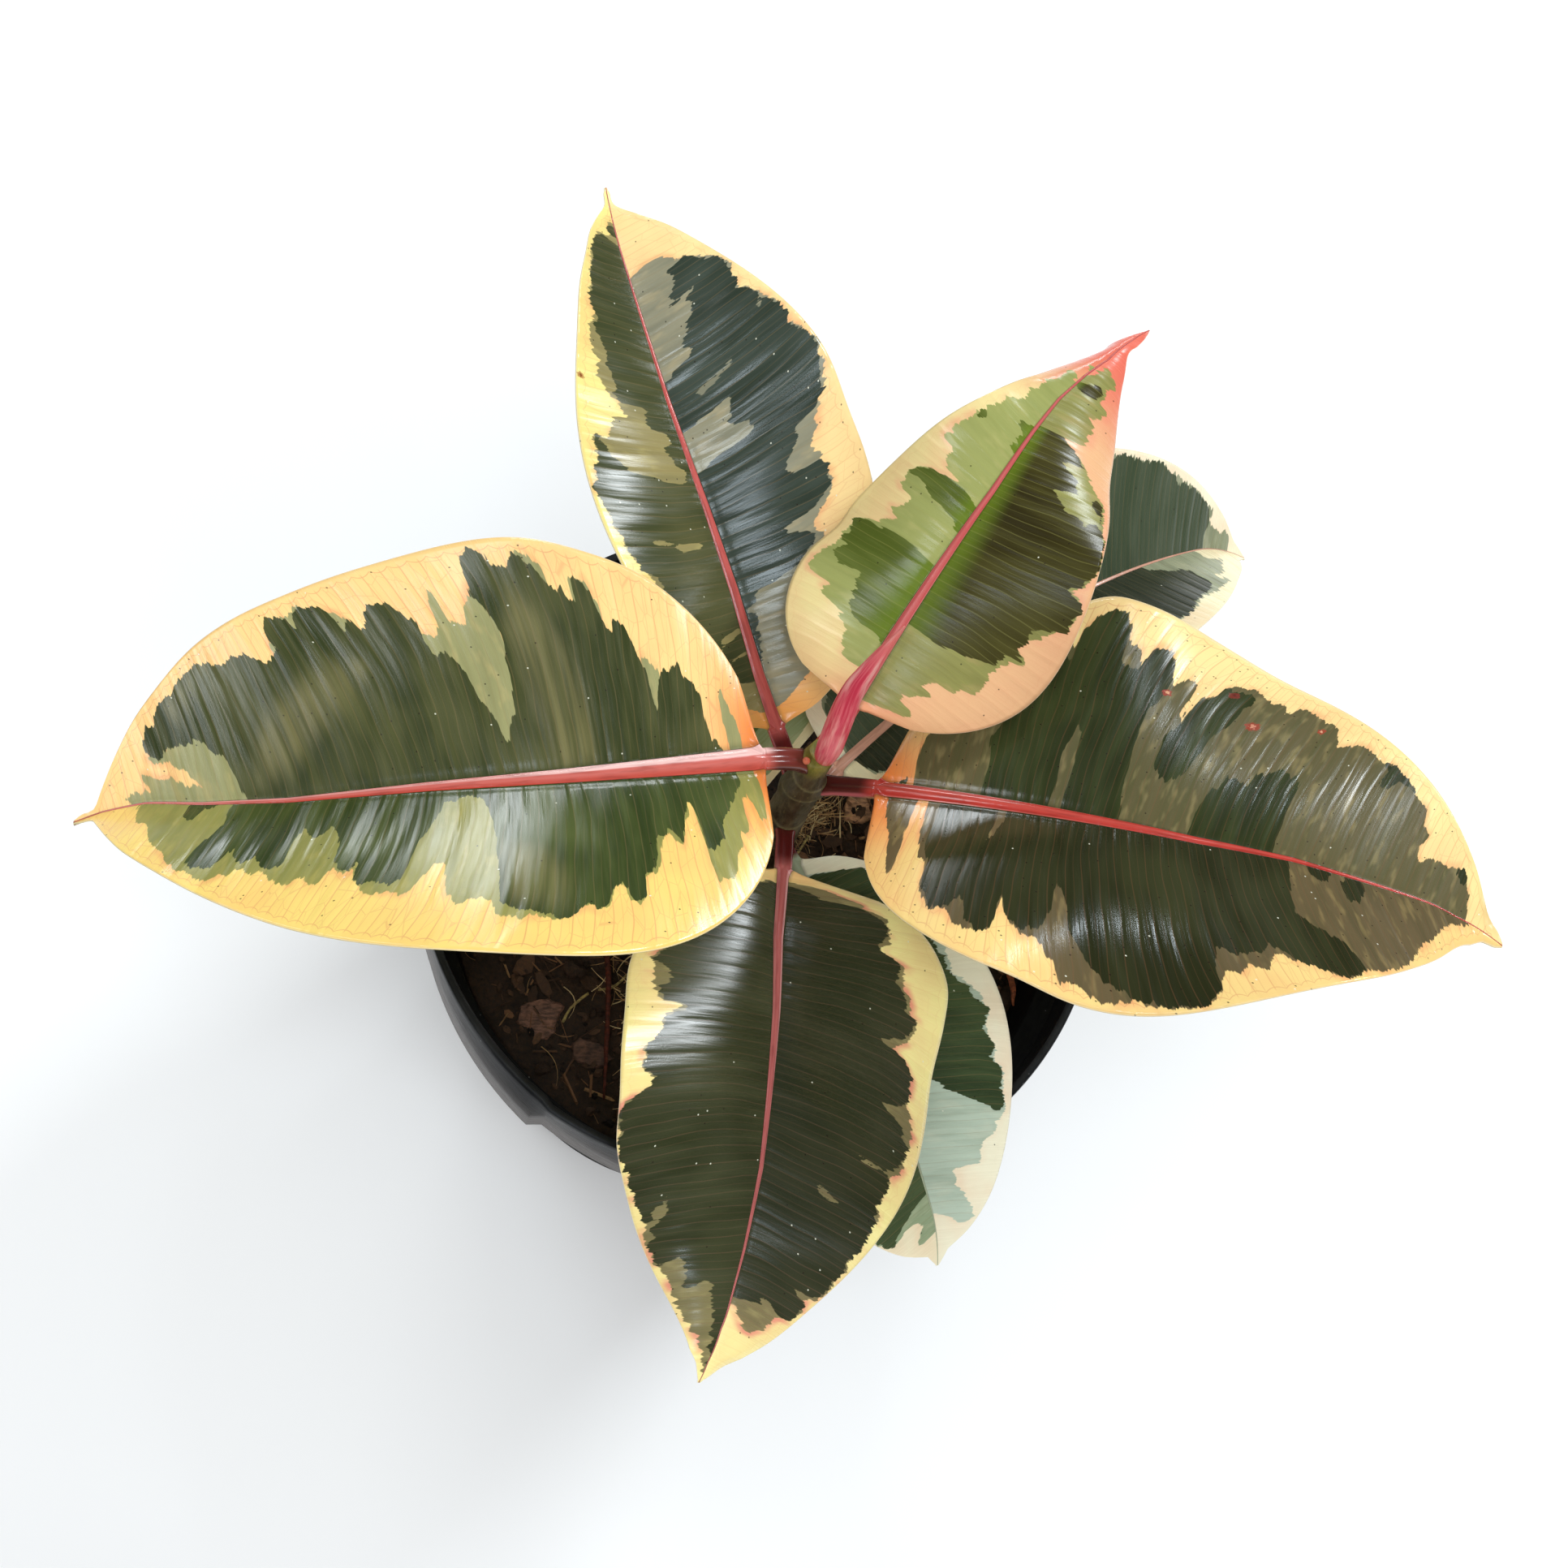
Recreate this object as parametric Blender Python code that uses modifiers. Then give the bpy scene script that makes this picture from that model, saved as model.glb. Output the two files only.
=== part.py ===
"""Potted rubber plant: one upright stem with eight large oval leaves, in a round nursery pot.

Metres, +Z up. The origin is the centre of the pot's flat base, on the surface it stands on.
A heading is an angle seen from above, counter-clockwise from +X.
"""
import math
from collections import namedtuple

import bmesh
import bpy
from mathutils import Vector

# Pot
POT_HEIGHT = 0.150
RIM_RADIUS = 0.095
BASE_RADIUS = 0.064
WALL = 0.0016
FLOOR_THICKNESS = 0.002
LIP_HEIGHT = 0.019
LIP_WALL = 0.0024
LIP_TAPER = 0.0006
EDGE_ROUND = 0.0006
DRAIN_COUNT = 6
DRAIN_RING_RADIUS = 0.042
DRAIN_HOLE_RADIUS = 0.0045

# Potting mix and the stem's socket in it
SOIL_TOP = POT_HEIGHT - 0.035
SOIL_CROWN = 0.0015
CROWN_RADIUS = 0.022
ROOT_DEPTH = 0.045

# Gap kept between touching pieces
GAP = 0.0003

# Stem: height above the base and radius, from the root tip up to the growing point
STEM_TOP = 0.2325
STEM_STATIONS = (
    (SOIL_TOP - ROOT_DEPTH, 0.0026),
    (SOIL_TOP, 0.0048),
    (0.205, 0.0044),
    (0.216, 0.0040),
    (0.224, 0.0034),
    (STEM_TOP, 0.0031),
)
NODE_BULGE = 0.0003
NODE_HALF_HEIGHT = 0.003
OLD_LEAF_SCARS = (0.126, 0.138, 0.147)

# Terminal bud, a long closed sheath that leans over the youngest leaf
BUD_FOOT = (0.0006, -0.0014)
BUD_LENGTH = 0.0446
BUD_RADIUS = 0.0033
# (share of the length, value) for the heading, the rise above level and the girth
BUD_HEADINGS = ((0.0, 78), (0.40, 74), (0.60, 52), (1.0, 47))
BUD_RISES = ((0.0, 90), (0.06, 84), (0.20, 58), (0.45, 56), (0.75, 45), (1.0, 44))
BUD_GIRTHS = ((0.0, 0.84), (0.12, 1.0), (0.35, 0.98), (0.55, 0.84), (0.78, 0.50), (0.92, 0.22), (1.0, 0.05))

# Small side bud above the west leaf's stalk
SIDE_BUD_RADIUS = 0.0010
SIDE_BUD_HEADING = 214
SIDE_BUD_HEIGHT = 0.2310

# Leaf solids
BLADE_THICKNESS = 0.0008
STALK_STATIONS = 4
BLADE_STATIONS = 19
LAMINA_STEPS = (0.35, 0.7, 1.0)

Leaf = namedtuple("Leaf", (
    "height",      # of the stalk's root above the pot's base
    "heading",     # of the stalk
    "stalk",       # stalk length
    "rise",        # stalk's angle above level at its root
    "length",      # blade length along the midrib
    "pitch",       # midrib's angle above level where the blade starts
    "droop",       # how far the pitch falls by the tip
    "sway",        # how far the heading turns by the tip
    "roll",        # sideways lean of the blade at its base
    "twist",       # more lean by the tip
    "fold",        # angle of each half above level beside the midrib
    "curl",        # change of that angle by the margin
    "open_up",     # change of the fold from base to tip
    "left",        # half widths, left and right of the heading
    "right",
    "base_shape",  # outline powers: small is round, large is pointed
    "base_lean",   # added for the left half, taken off for the right
    "tip_shape",
    "tip_lean",
    "wave",        # height of the margin's waves
    "phase",       # where along the blade the waves start
    "hook",        # sideways bend of the drip tip
    "rib",         # half width of the midrib at the blade's base
    "drift",       # (t, shift) of the midrib to the left, between margins that stay
    "girth",       # the stalk's radius
    "swells",      # per half, (t, spread, change) where the margin swells or dips
), defaults=(0.0024, ((), ())))

LEAVES = {
    "leaf_west": Leaf(0.2248, 191.0, 0.0135, 44.7, 0.1668, 7.3, 19.5, -7.0, 3.8, 20.5,
                      22.0, -11.1, 8.2, 0.0589, 0.0616, 0.44, -0.017, 0.594, 0.023,
                      -0.0033, 33, 0.0028, 0.0032,
                      ((0, 0), (0.1, 0.0002), (0.3, 0.0004), (0.5, 0.0003), (0.7, 0.0010),
                       (0.82, 0), (0.9, -0.0018), (0.96, -0.0013), (1, 0)), 0.0029,
                      (((0.955, 0.03, -0.045),),
                       ((0.955, 0.034, -0.055), (0.89, 0.04, -0.02), (0.24, 0.07, -0.018),
                        (0.7, 0.07, -0.01)))),
    "leaf_north": Leaf(0.2009, 113.6, 0.013, 33.9, 0.1477, 20.4, 16.5, -4.3, 7.2, 3.8,
                       23.8, -9.3, 0, 0.0349, 0.0447, 0.591, -0.023, 0.759, -0.016,
                       0.003, -25, -0.0013, 0.0019,
                       ((0, 0.001), (0.1, 0.0012), (0.25, 0.0004), (0.4, 0.0005), (0.6, 0.0012),
                        (0.8, 0.0008), (1, 0)), 0.0024,
                       (((0.955, 0.03, -0.05), (0.88, 0.05, -0.035), (0.74, 0.1, -0.025)),
                        ((0.955, 0.034, -0.06), (0.5, 0.08, -0.03)))),
    "leaf_northeast": Leaf(0.2265, 59.8, 0.0137, 66.9, 0.1315, 22.8, 33.4, -8.4, -6.0, -5.5,
                           -1.1, -31.3, -5.8, 0.0342, 0.0395, 0.443, -0.03, 1.147, 0.056,
                           0.0068, 87, -0.0049, 0.0020,
                           ((0, 0), (0.5, 0.0005), (0.65, 0.0014), (0.74, 0.0014), (0.82, 0),
                            (0.88, -0.0018), (0.95, -0.0012), (1, 0)), 0.0026,
                           (((0.3, 0.05, -0.05), (0.66, 0.07, -0.03), (0.84, 0.05, 0.03),
                             (0.955, 0.02, -0.03)),
                            ((0.68, 0.06, -0.025),))),
    "leaf_east": Leaf(0.2086, -12.4, 0.0154, 34.9, 0.1628, 25.7, 35.5, 0.5, -15.8, -1.1,
                      14.2, -17.6, 1.9, 0.0651, 0.0563, 0.465, 0.06, 0.706, -0.008,
                      0.0063, -76, -0.0073, 0.0024,
                      ((0, -0.0002), (0.5, -0.0005), (0.65, 0.0004), (0.8, -0.0006), (0.92, -0.0016),
                       (1, 0)), 0.0026,
                      (((0.3, 0.05, 0.025), (0.47, 0.08, -0.02), (0.6, 0.08, -0.012), (0.97, 0.02, -0.03)),
                       ((0.28, 0.06, -0.022), (0.93, 0.045, -0.07), (0.85, 0.05, -0.015)))),
    "leaf_south": Leaf(0.1824, -94.6, 0.0154, 34.8, 0.1349, 14.6, 28.4, -5.4, -15.2, 4.0,
                       12.0, -20.5, 0.4, 0.0485, 0.043, 0.467, -0.147, 0.818, -0.049,
                       0.0061, 65, -0.005, 0.0017,
                       ((0, -0.0008), (0.15, -0.0012), (0.3, 0), (0.6, 0.001), (0.75, 0),
                        (0.9, -0.0018), (0.96, -0.0012), (1, 0)), 0.0024,
                       (((0.33, 0.08, -0.02), (0.17, 0.04, 0.015), (0.955, 0.03, -0.02)),
                        ((0.36, 0.09, -0.035), (0.62, 0.06, 0.03)))),
    "leaf_low_southeast": Leaf(0.1654, -64.7, 0.0062, 41.9, 0.1147, 7.7, 32.7, -4.2, -6.3, -1.8,
                               12.6, -18.9, 0.3, 0.0377, 0.0413, 0.5, 0.008, 0.593, 0.009,
                               -0.0015, 11, -0.0026, 0.0015,
                               ((0, 0), (1, 0))),
    "leaf_low_northeast": Leaf(0.1724, 44.4, 0.0169, 35.8, 0.1616, 15.3, 51.2, -20.0, 0.1, 3.0,
                               29.7, -3.2, 1.3, 0.0439, 0.0348, 0.434, -0.005, 0.664, 0.009,
                               0.0016, -28, -0.0045, 0.0016,
                               ((0, 0), (1, 0))),
    "leaf_low_northwest": Leaf(0.1716, 140.6, 0.0055, 50.2, 0.075, 12.0, 24.2, -7.1, 3.4, 1.9,
                               17.4, -12.6, 0.2, 0.0374, 0.0442, 0.25, 0.045, 0.68, -0.025,
                               0.0011, 19, -0.0009, 0.0013,
                               ((0, 0), (1, 0))),
}
WAVES_PER_BLADE = 1.6
RIGHT_WAVE_LAG = 97
DRIP_TIP_LENGTH = 0.055
DRIP_TIP_WIDTH = 0.135
BODY_END = 0.97
HOOK_START = 0.86

# Loose things on the potting mix: x, y, length, width, turn in degrees
CHIP_THICKNESS = 0.0012
BARK_CHIPS = (
    (-0.0571, -0.0416, 0.0130, 0.0115, 20),
    (-0.0430, -0.0512, 0.0120, 0.0080, -15),
    (0.0335, 0.0250, 0.0120, 0.0090, 80),
    (0.0390, -0.0120, 0.0090, 0.0070, 30),
    (-0.0640, -0.0180, 0.0110, 0.0070, 60),
    (-0.0300, 0.0480, 0.0140, 0.0090, 140),
    (0.0180, 0.0600, 0.0110, 0.0080, 10),
    (0.0560, 0.0380, 0.0120, 0.0070, 50),
    (0.0100, -0.0580, 0.0130, 0.0090, 110),
    (0.0550, -0.0430, 0.0100, 0.0070, 160),
)
LUMP_FLATNESS = 0.55
# x, y, radius
PEAT_LUMPS = (
    (-0.0480, -0.0280, 0.0032),
    (-0.0280, -0.0420, 0.0026),
    (-0.0560, -0.0560, 0.0024),
    (0.0270, 0.0010, 0.0024),
    (0.0310, -0.0380, 0.0030),
    (-0.0490, 0.0260, 0.0034),
    (0.0700, 0.0020, 0.0028),
    (-0.0100, -0.0740, 0.0026),
)
# x, y, length, heading, bend in degrees
COIR_FIBRES = (
    (0.0110, 0.0060, 0.0120, 40, 30),
    (0.0150, 0.0010, 0.0110, -10, -40),
    (0.0080, 0.0130, 0.0130, 75, -30),
    (0.0120, -0.0080, 0.0120, -45, 35),
    (-0.0440, -0.0340, 0.0110, 215, 40),
    (-0.0330, -0.0280, 0.0100, 230, -50),
    (-0.0120, 0.0120, 0.0120, 130, 30),
    (-0.0130, -0.0240, 0.0110, 250, 20),
)
FIBRE_RADIUS = 0.0004
FIBRE_STEPS = 5

# Dried bud scales that have dropped off the stem: the points of their middle lines
LONG_SCALE = ((-0.0394, -0.0150, 0.1163), (-0.0385, -0.0320, 0.1180), (-0.0388, -0.0500, 0.1183),
              (-0.0390, -0.0640, 0.1166))
LONG_SCALE_RADII = (0.0007, 0.0008, 0.0006, 0.0003)
SHORT_SCALE = ((0.0750, -0.0150, 0.1160), (0.0765, -0.0220, 0.1175), (0.0770, -0.0285, 0.1200),
               (0.0762, -0.0335, 0.1225))
SHORT_SCALE_RADII = (0.0006, 0.0009, 0.0008, 0.0003)

ROUND_STEPS = 48


def clear_scene():
    for obj in list(bpy.data.objects):
        bpy.data.objects.remove(obj, do_unlink=True)
    for collection in list(bpy.data.collections):
        bpy.data.collections.remove(collection)


def new_collection(name):
    collection = bpy.data.collections.new(name)
    bpy.context.scene.collection.children.link(collection)
    return collection


def give_material(obj, colour, roughness, metallic=0.0):
    material = bpy.data.materials.new(obj.name + "_material")
    material.use_nodes = True
    shader = material.node_tree.nodes["Principled BSDF"]
    shader.inputs["Base Color"].default_value = (*colour, 1.0)
    shader.inputs["Roughness"].default_value = roughness
    shader.inputs["Metallic"].default_value = metallic
    material.diffuse_color = (*colour, 1.0)
    obj.data.materials.append(material)


def mesh_object(name, bm, collection, smooth=True):
    """Make an object of its own from a bmesh."""
    mesh = bpy.data.meshes.new(name)
    bm.to_mesh(mesh)
    bm.free()
    if smooth:
        mesh.shade_smooth()
        mesh.set_sharp_from_angle(angle=math.radians(40))
    obj = bpy.data.objects.new(name, mesh)
    collection.objects.link(obj)
    return obj


def turned_object(name, profile, steps, collection):
    """Turn a profile of (radius, height) points about Z; it runs down its outer side."""
    bm = bmesh.new()
    verts = [bm.verts.new((radius, 0, height)) for radius, height in profile]
    for first, second in zip(verts, verts[1:]):
        bm.edges.new((first, second))
    obj = mesh_object(name, bm, collection, smooth=False)
    screw = obj.modifiers.new("Turn", "SCREW")
    screw.axis = "Z"
    screw.angle = 2 * math.pi
    screw.steps = steps
    screw.render_steps = steps
    screw.use_merge_vertices = True
    screw.merge_threshold = 0.0001
    screw.use_smooth_shade = True
    return obj


def tube_object(name, points, radii, collection, resolution=2):
    """A round rod along a path of points, each point with its own radius."""
    curve = bpy.data.curves.new(name, "CURVE")
    curve.dimensions = "3D"
    curve.bevel_depth = 1.0
    curve.bevel_resolution = resolution
    curve.use_fill_caps = True
    spline = curve.splines.new("POLY")
    spline.points.add(len(points) - 1)
    for spline_point, place, radius in zip(spline.points, points, radii):
        spline_point.co = (*place, 1.0)
        spline_point.radius = radius
    obj = bpy.data.objects.new(name, curve)
    collection.objects.link(obj)
    return obj


# ---------------------------------------------------------------- pot and potting mix

def body_radius(height):
    """Outer radius of the pot's tapered body."""
    top = RIM_RADIUS - LIP_WALL - LIP_TAPER
    return BASE_RADIUS + (top - BASE_RADIUS) * height / POT_HEIGHT


def inner_radius(height):
    return body_radius(height) - WALL


def make_pot(collection, cutters):
    lip_foot = POT_HEIGHT - LIP_HEIGHT
    profile = [
        (0, FLOOR_THICKNESS),
        (inner_radius(FLOOR_THICKNESS) - WALL, FLOOR_THICKNESS),
        (inner_radius(FLOOR_THICKNESS + WALL), FLOOR_THICKNESS + WALL),
        (inner_radius(lip_foot), lip_foot),
        (RIM_RADIUS - LIP_WALL - LIP_TAPER, lip_foot + WALL),
        (RIM_RADIUS - LIP_WALL, POT_HEIGHT - EDGE_ROUND),
        (RIM_RADIUS - LIP_WALL + EDGE_ROUND, POT_HEIGHT),
        (RIM_RADIUS - EDGE_ROUND, POT_HEIGHT),
        (RIM_RADIUS, POT_HEIGHT - EDGE_ROUND),
        (RIM_RADIUS - LIP_TAPER, lip_foot),
        (body_radius(lip_foot - EDGE_ROUND), lip_foot - EDGE_ROUND),
        (body_radius(2 * EDGE_ROUND), 2 * EDGE_ROUND),
        (BASE_RADIUS - 2 * EDGE_ROUND, 0),
        (0, 0),
    ]
    pot = turned_object("nursery_pot", profile, ROUND_STEPS, collection)
    bm = bmesh.new()
    for index in range(DRAIN_COUNT):
        angle = 2 * math.pi * (index + 0.5) / DRAIN_COUNT
        made = bmesh.ops.create_cone(
            bm, cap_ends=True, segments=16, depth=4 * FLOOR_THICKNESS,
            radius1=DRAIN_HOLE_RADIUS, radius2=DRAIN_HOLE_RADIUS)
        place = Vector((math.cos(angle), math.sin(angle), 0)) * DRAIN_RING_RADIUS
        bmesh.ops.translate(bm, verts=made["verts"], vec=place)
    holes = mesh_object("drain_hole_cutter", bm, cutters, smooth=False)
    holes.hide_render = True
    holes.display_type = "WIRE"
    cut = pot.modifiers.new("Drain holes", "BOOLEAN")
    cut.operation = "DIFFERENCE"
    cut.object = holes
    give_material(pot, (0.020, 0.020, 0.022), 0.42)


def make_potting_mix(collection):
    floor = FLOOR_THICKNESS + GAP
    socket = stem_radius(SOIL_TOP) + NODE_BULGE + GAP
    socket_floor = SOIL_TOP - ROOT_DEPTH - GAP
    profile = [
        (0, socket_floor),
        (stem_radius(SOIL_TOP - ROOT_DEPTH) + GAP, socket_floor),
        (socket, SOIL_TOP - WALL),
        (socket, SOIL_TOP + SOIL_CROWN),
        (CROWN_RADIUS, SOIL_TOP + SOIL_CROWN),
        (CROWN_RADIUS + 2 * SOIL_CROWN, SOIL_TOP),
        (inner_radius(SOIL_TOP) - GAP, SOIL_TOP),
        (inner_radius(floor + 2 * WALL) - GAP, floor + 2 * WALL),
        (inner_radius(floor) - 2 * WALL, floor),
        (0, floor),
    ]
    mix = turned_object("potting_mix", profile, ROUND_STEPS, collection)
    give_material(mix, (0.035, 0.022, 0.014), 0.95)


# ---------------------------------------------------------------- stem and buds

def stem_radius(height):
    """Radius of the bare stem at a height, between its stations."""
    if height <= STEM_STATIONS[0][0]:
        return STEM_STATIONS[0][1]
    for (low, low_radius), (high, high_radius) in zip(STEM_STATIONS, STEM_STATIONS[1:]):
        if height <= high:
            return low_radius + (high_radius - low_radius) * (height - low) / (high - low)
    return STEM_STATIONS[-1][1]


def make_stem(collection):
    joints = sorted([leaf.height for leaf in LEAVES.values()] + list(OLD_LEAF_SCARS))
    heights = {height: 0.0 for height, _ in STEM_STATIONS}
    for joint in joints:
        for offset, share in ((-1, 0.0), (-0.4, 1.0), (0.4, 1.0), (1, 0.0)):
            height = min(joint + offset * NODE_HALF_HEIGHT, STEM_TOP)
            heights[height] = share
    for height in heights:
        if any(abs(height - joint) < 0.5 * NODE_HALF_HEIGHT for joint in joints):
            heights[height] = 1.0
    profile = [(0, STEM_TOP)]
    for height in sorted(heights, reverse=True):
        profile.append((stem_radius(height) + NODE_BULGE * heights[height], height))
    profile.append((0, STEM_STATIONS[0][0]))
    stem = turned_object("main_stem", profile, 20, collection)
    give_material(stem, (0.075, 0.062, 0.035), 0.55)


def direction(heading, rise):
    """Unit vector at a heading and an angle above level, both in radians."""
    return Vector((math.cos(rise) * math.cos(heading), math.cos(rise) * math.sin(heading), math.sin(rise)))


def between(stations, share):
    """The value at a share of the way, drawn evenly between (share, value) stations."""
    for (first, low), (second, high) in zip(stations, stations[1:]):
        if share <= second:
            return low + (high - low) * (share - first) / (second - first)
    return stations[-1][1]


def make_buds(collection):
    place = Vector((*BUD_FOOT, STEM_TOP + GAP))
    points = [place.copy()]
    radii = [BUD_RADIUS * BUD_GIRTHS[0][1]]
    steps = 14
    for index in range(steps):
        share = (index + 0.5) / steps
        heading = math.radians(between(BUD_HEADINGS, share))
        rise = math.radians(between(BUD_RISES, share))
        place += direction(heading, rise) * BUD_LENGTH / steps
        points.append(place.copy())
        radii.append(BUD_RADIUS * between(BUD_GIRTHS, (index + 1) / steps))
    bud = tube_object("bud_sheath", points, radii, collection, resolution=4)
    give_material(bud, (0.55, 0.10, 0.11), 0.35)

    bm = bmesh.new()
    bmesh.ops.create_uvsphere(bm, u_segments=12, v_segments=8, radius=SIDE_BUD_RADIUS)
    distance = stem_radius(SIDE_BUD_HEIGHT) + NODE_BULGE + GAP + SIDE_BUD_RADIUS
    place = direction(math.radians(SIDE_BUD_HEADING), 0) * distance
    place.z = SIDE_BUD_HEIGHT
    bmesh.ops.translate(bm, verts=bm.verts, vec=place)
    side_bud = mesh_object("side_bud", bm, collection)
    give_material(side_bud, (0.50, 0.16, 0.10), 0.5)


# ---------------------------------------------------------------- leaves

def outline(t, leaf, sign):
    """Share of the half width at t along the midrib; sign is 1 for the left half, -1 for the right."""
    a = leaf.base_shape + sign * leaf.base_lean
    b = leaf.tip_shape + sign * leaf.tip_lean
    widest = a / (a + b)
    along = min(t / BODY_END, 1.0)
    body = along ** a * (1 - along) ** b / (widest ** a * (1 - widest) ** b)
    join = min(max((t - 0.75) / 0.18, 0), 1)
    join = join * join * (3 - 2 * join)
    drip = DRIP_TIP_WIDTH * min(max((1 - t) / DRIP_TIP_LENGTH, 0), 1) ** 0.85 * join
    width = (body ** 2.5 + drip ** 2.5) ** 0.4
    for centre, spread, change in leaf.swells[0 if sign > 0 else 1]:
        width += change * math.exp(-((t - centre) / spread) ** 2) * min(max((1 - t) / 0.02, 0), 1)
    return width


def midrib_shift(t, leaf):
    """How far the midrib lies to the left of the blade's own line at t."""
    return between(leaf.drift, t)


def section_point(share, angle, curl):
    """Place across one half of the blade, for a strip whose slope changes evenly."""
    if abs(curl) < 1e-6:
        return share * math.cos(angle), share * math.sin(angle)
    end = angle + curl * share
    return (math.sin(end) - math.sin(angle)) / curl, (math.cos(angle) - math.cos(end)) / curl


def leaf_ring(centre, side, up, half_widths, slopes, rib, lift, flatness):
    """One closed cross-section: the top from left to right, then the underside back again."""
    top = []
    bottom = []
    for sign, half_width, slope, raised in zip((1, -1), half_widths, slopes, lift):
        angle, curl = slope
        upper_half = []
        lower_half = []
        for step in (0.0,) + LAMINA_STEPS:
            across = rib + (half_width - rib) * step
            share = across / half_width
            x, z = section_point(share, angle, curl)
            z = z * half_width + raised * share ** 2
            x = x * half_width
            turn = math.radians(15 + 60 * (1 - step))
            round_x = rib * math.cos(turn)
            round_z = rib * math.sin(turn)
            thickness = BLADE_THICKNESS * (1 - 0.3 * step) + 0.5 * rib * (step == 0)
            upper = (x + (round_x - x) * flatness, z + (round_z - z) * flatness)
            lower = (x + (round_x - x) * flatness, (z - thickness) * (1 - flatness) - round_z * flatness)
            upper_half.append(centre + side * sign * upper[0] + up * upper[1])
            lower_half.append(centre + side * sign * lower[0] + up * lower[1])
        if sign > 0:
            top += list(reversed(upper_half))
            bottom += lower_half
        else:
            top += [centre + up * rib * (0.15 + 0.85 * flatness)] + upper_half
            bottom = list(reversed(lower_half)) + [centre - up * rib] + bottom
    return top + bottom


def make_leaf(name, leaf, collection):
    """One leaf, stalk and blade in one solid: rings along the stalk, then along the midrib."""
    heading = math.radians(leaf.heading)
    pitch = math.radians(leaf.pitch)
    root = stem_radius(leaf.height) + NODE_BULGE + GAP
    place = Vector((root * math.cos(heading), root * math.sin(heading), leaf.height))
    rings = []
    for index in range(STALK_STATIONS):
        share = index / STALK_STATIONS
        rise = math.radians(leaf.rise) * (1 - share) + pitch * share
        forward = direction(heading, rise)
        side = Vector((-math.sin(heading), math.cos(heading), 0))
        up = Vector((0, 0, 1)) if index == 0 else forward.cross(side)
        rings.append(leaf_ring(place, side, up, (leaf.girth,) * 2, ((0, 0),) * 2, leaf.girth, (0, 0), 1.0))
        place = place + forward * leaf.stalk / STALK_STATIONS
    previous = 0.0
    for index in range(BLADE_STATIONS):
        t = 0.5 - 0.5 * math.cos(math.pi * (index + 0.35) / (BLADE_STATIONS - 0.2))
        middle = 0.5 * (previous + t)
        step_heading = heading + math.radians(leaf.sway) * middle
        step_pitch = pitch - math.radians(leaf.droop) * middle
        place = place + direction(step_heading, step_pitch) * leaf.length * (t - previous)
        previous = t
        here = heading + math.radians(leaf.sway) * t
        forward = direction(here, pitch - math.radians(leaf.droop) * t)
        level = Vector((-math.sin(here), math.cos(here), 0))
        normal = forward.cross(level)
        lean = math.radians(leaf.roll + leaf.twist * t)
        side = level * math.cos(lean) + normal * math.sin(lean)
        up = normal * math.cos(lean) - level * math.sin(lean)
        shift = midrib_shift(t, leaf)
        halves = [max(width * outline(t, leaf, sign) - sign * shift, 0.0006)
                  for width, sign in ((leaf.left, 1), (leaf.right, -1))]
        rib = min(leaf.rib * (1 - 0.78 * t ** 0.8), min(halves) / 1.15)
        bend = leaf.hook * max(0, (t - HOOK_START) / (1 - HOOK_START)) ** 2 + shift
        angle = math.radians(leaf.fold + leaf.open_up * (t - 0.5))
        curl = math.radians(leaf.curl)
        lift = [leaf.wave * math.sin(math.tau * WAVES_PER_BLADE * t + math.radians(leaf.phase + lag))
                * math.sqrt(math.sin(math.pi * t)) for lag in (0, RIGHT_WAVE_LAG)]
        rings.append(leaf_ring(place + side * bend, side, up, halves, ((angle, curl),) * 2, rib, lift, 0.0))
    bm = bmesh.new()
    rows = [[bm.verts.new(point) for point in ring] for ring in rings]
    count = len(rows[0])
    for first, second in zip(rows, rows[1:]):
        for index in range(count):
            after = (index + 1) % count
            bm.faces.new((first[index], first[after], second[after], second[index]))
    bm.faces.new(list(reversed(rows[0])))
    bm.faces.new(rows[-1])
    bmesh.ops.recalc_face_normals(bm, faces=bm.faces)
    obj = mesh_object(name, bm, collection)
    give_material(obj, (0.085, 0.13, 0.055), 0.3)


# ---------------------------------------------------------------- loose things on the mix

def make_bark_chips(collection):
    sides = 9
    for index, (x, y, length, width, turn) in enumerate(BARK_CHIPS):
        bm = bmesh.new()
        bmesh.ops.create_cone(bm, cap_ends=True, segments=sides, depth=CHIP_THICKNESS,
                              radius1=0.5, radius2=0.46)
        for vert in bm.verts:
            around = math.atan2(vert.co.y, vert.co.x)
            ragged = 1 + 0.14 * math.sin(3 * around + index) + 0.08 * math.sin(5 * around + 2 * index)
            vert.co.x *= length * ragged
            vert.co.y *= width * ragged
        chip = mesh_object(f"bark_chip_{index + 1}", bm, collection, smooth=False)
        chip.location = (x, y, SOIL_TOP + GAP + CHIP_THICKNESS / 2)
        chip.rotation_euler.z = math.radians(turn)
        give_material(chip, (0.16, 0.075, 0.042), 0.85)


def make_peat_lumps(collection):
    for index, (x, y, radius) in enumerate(PEAT_LUMPS):
        bm = bmesh.new()
        bmesh.ops.create_icosphere(bm, subdivisions=2, radius=radius)
        bmesh.ops.scale(bm, verts=bm.verts, vec=(1.0, 0.85, LUMP_FLATNESS))
        lump = mesh_object(f"peat_lump_{index + 1}", bm, collection)
        lump.location = (x, y, SOIL_TOP + GAP + LUMP_FLATNESS * radius)
        give_material(lump, (0.045, 0.028, 0.018), 0.95)


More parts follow.
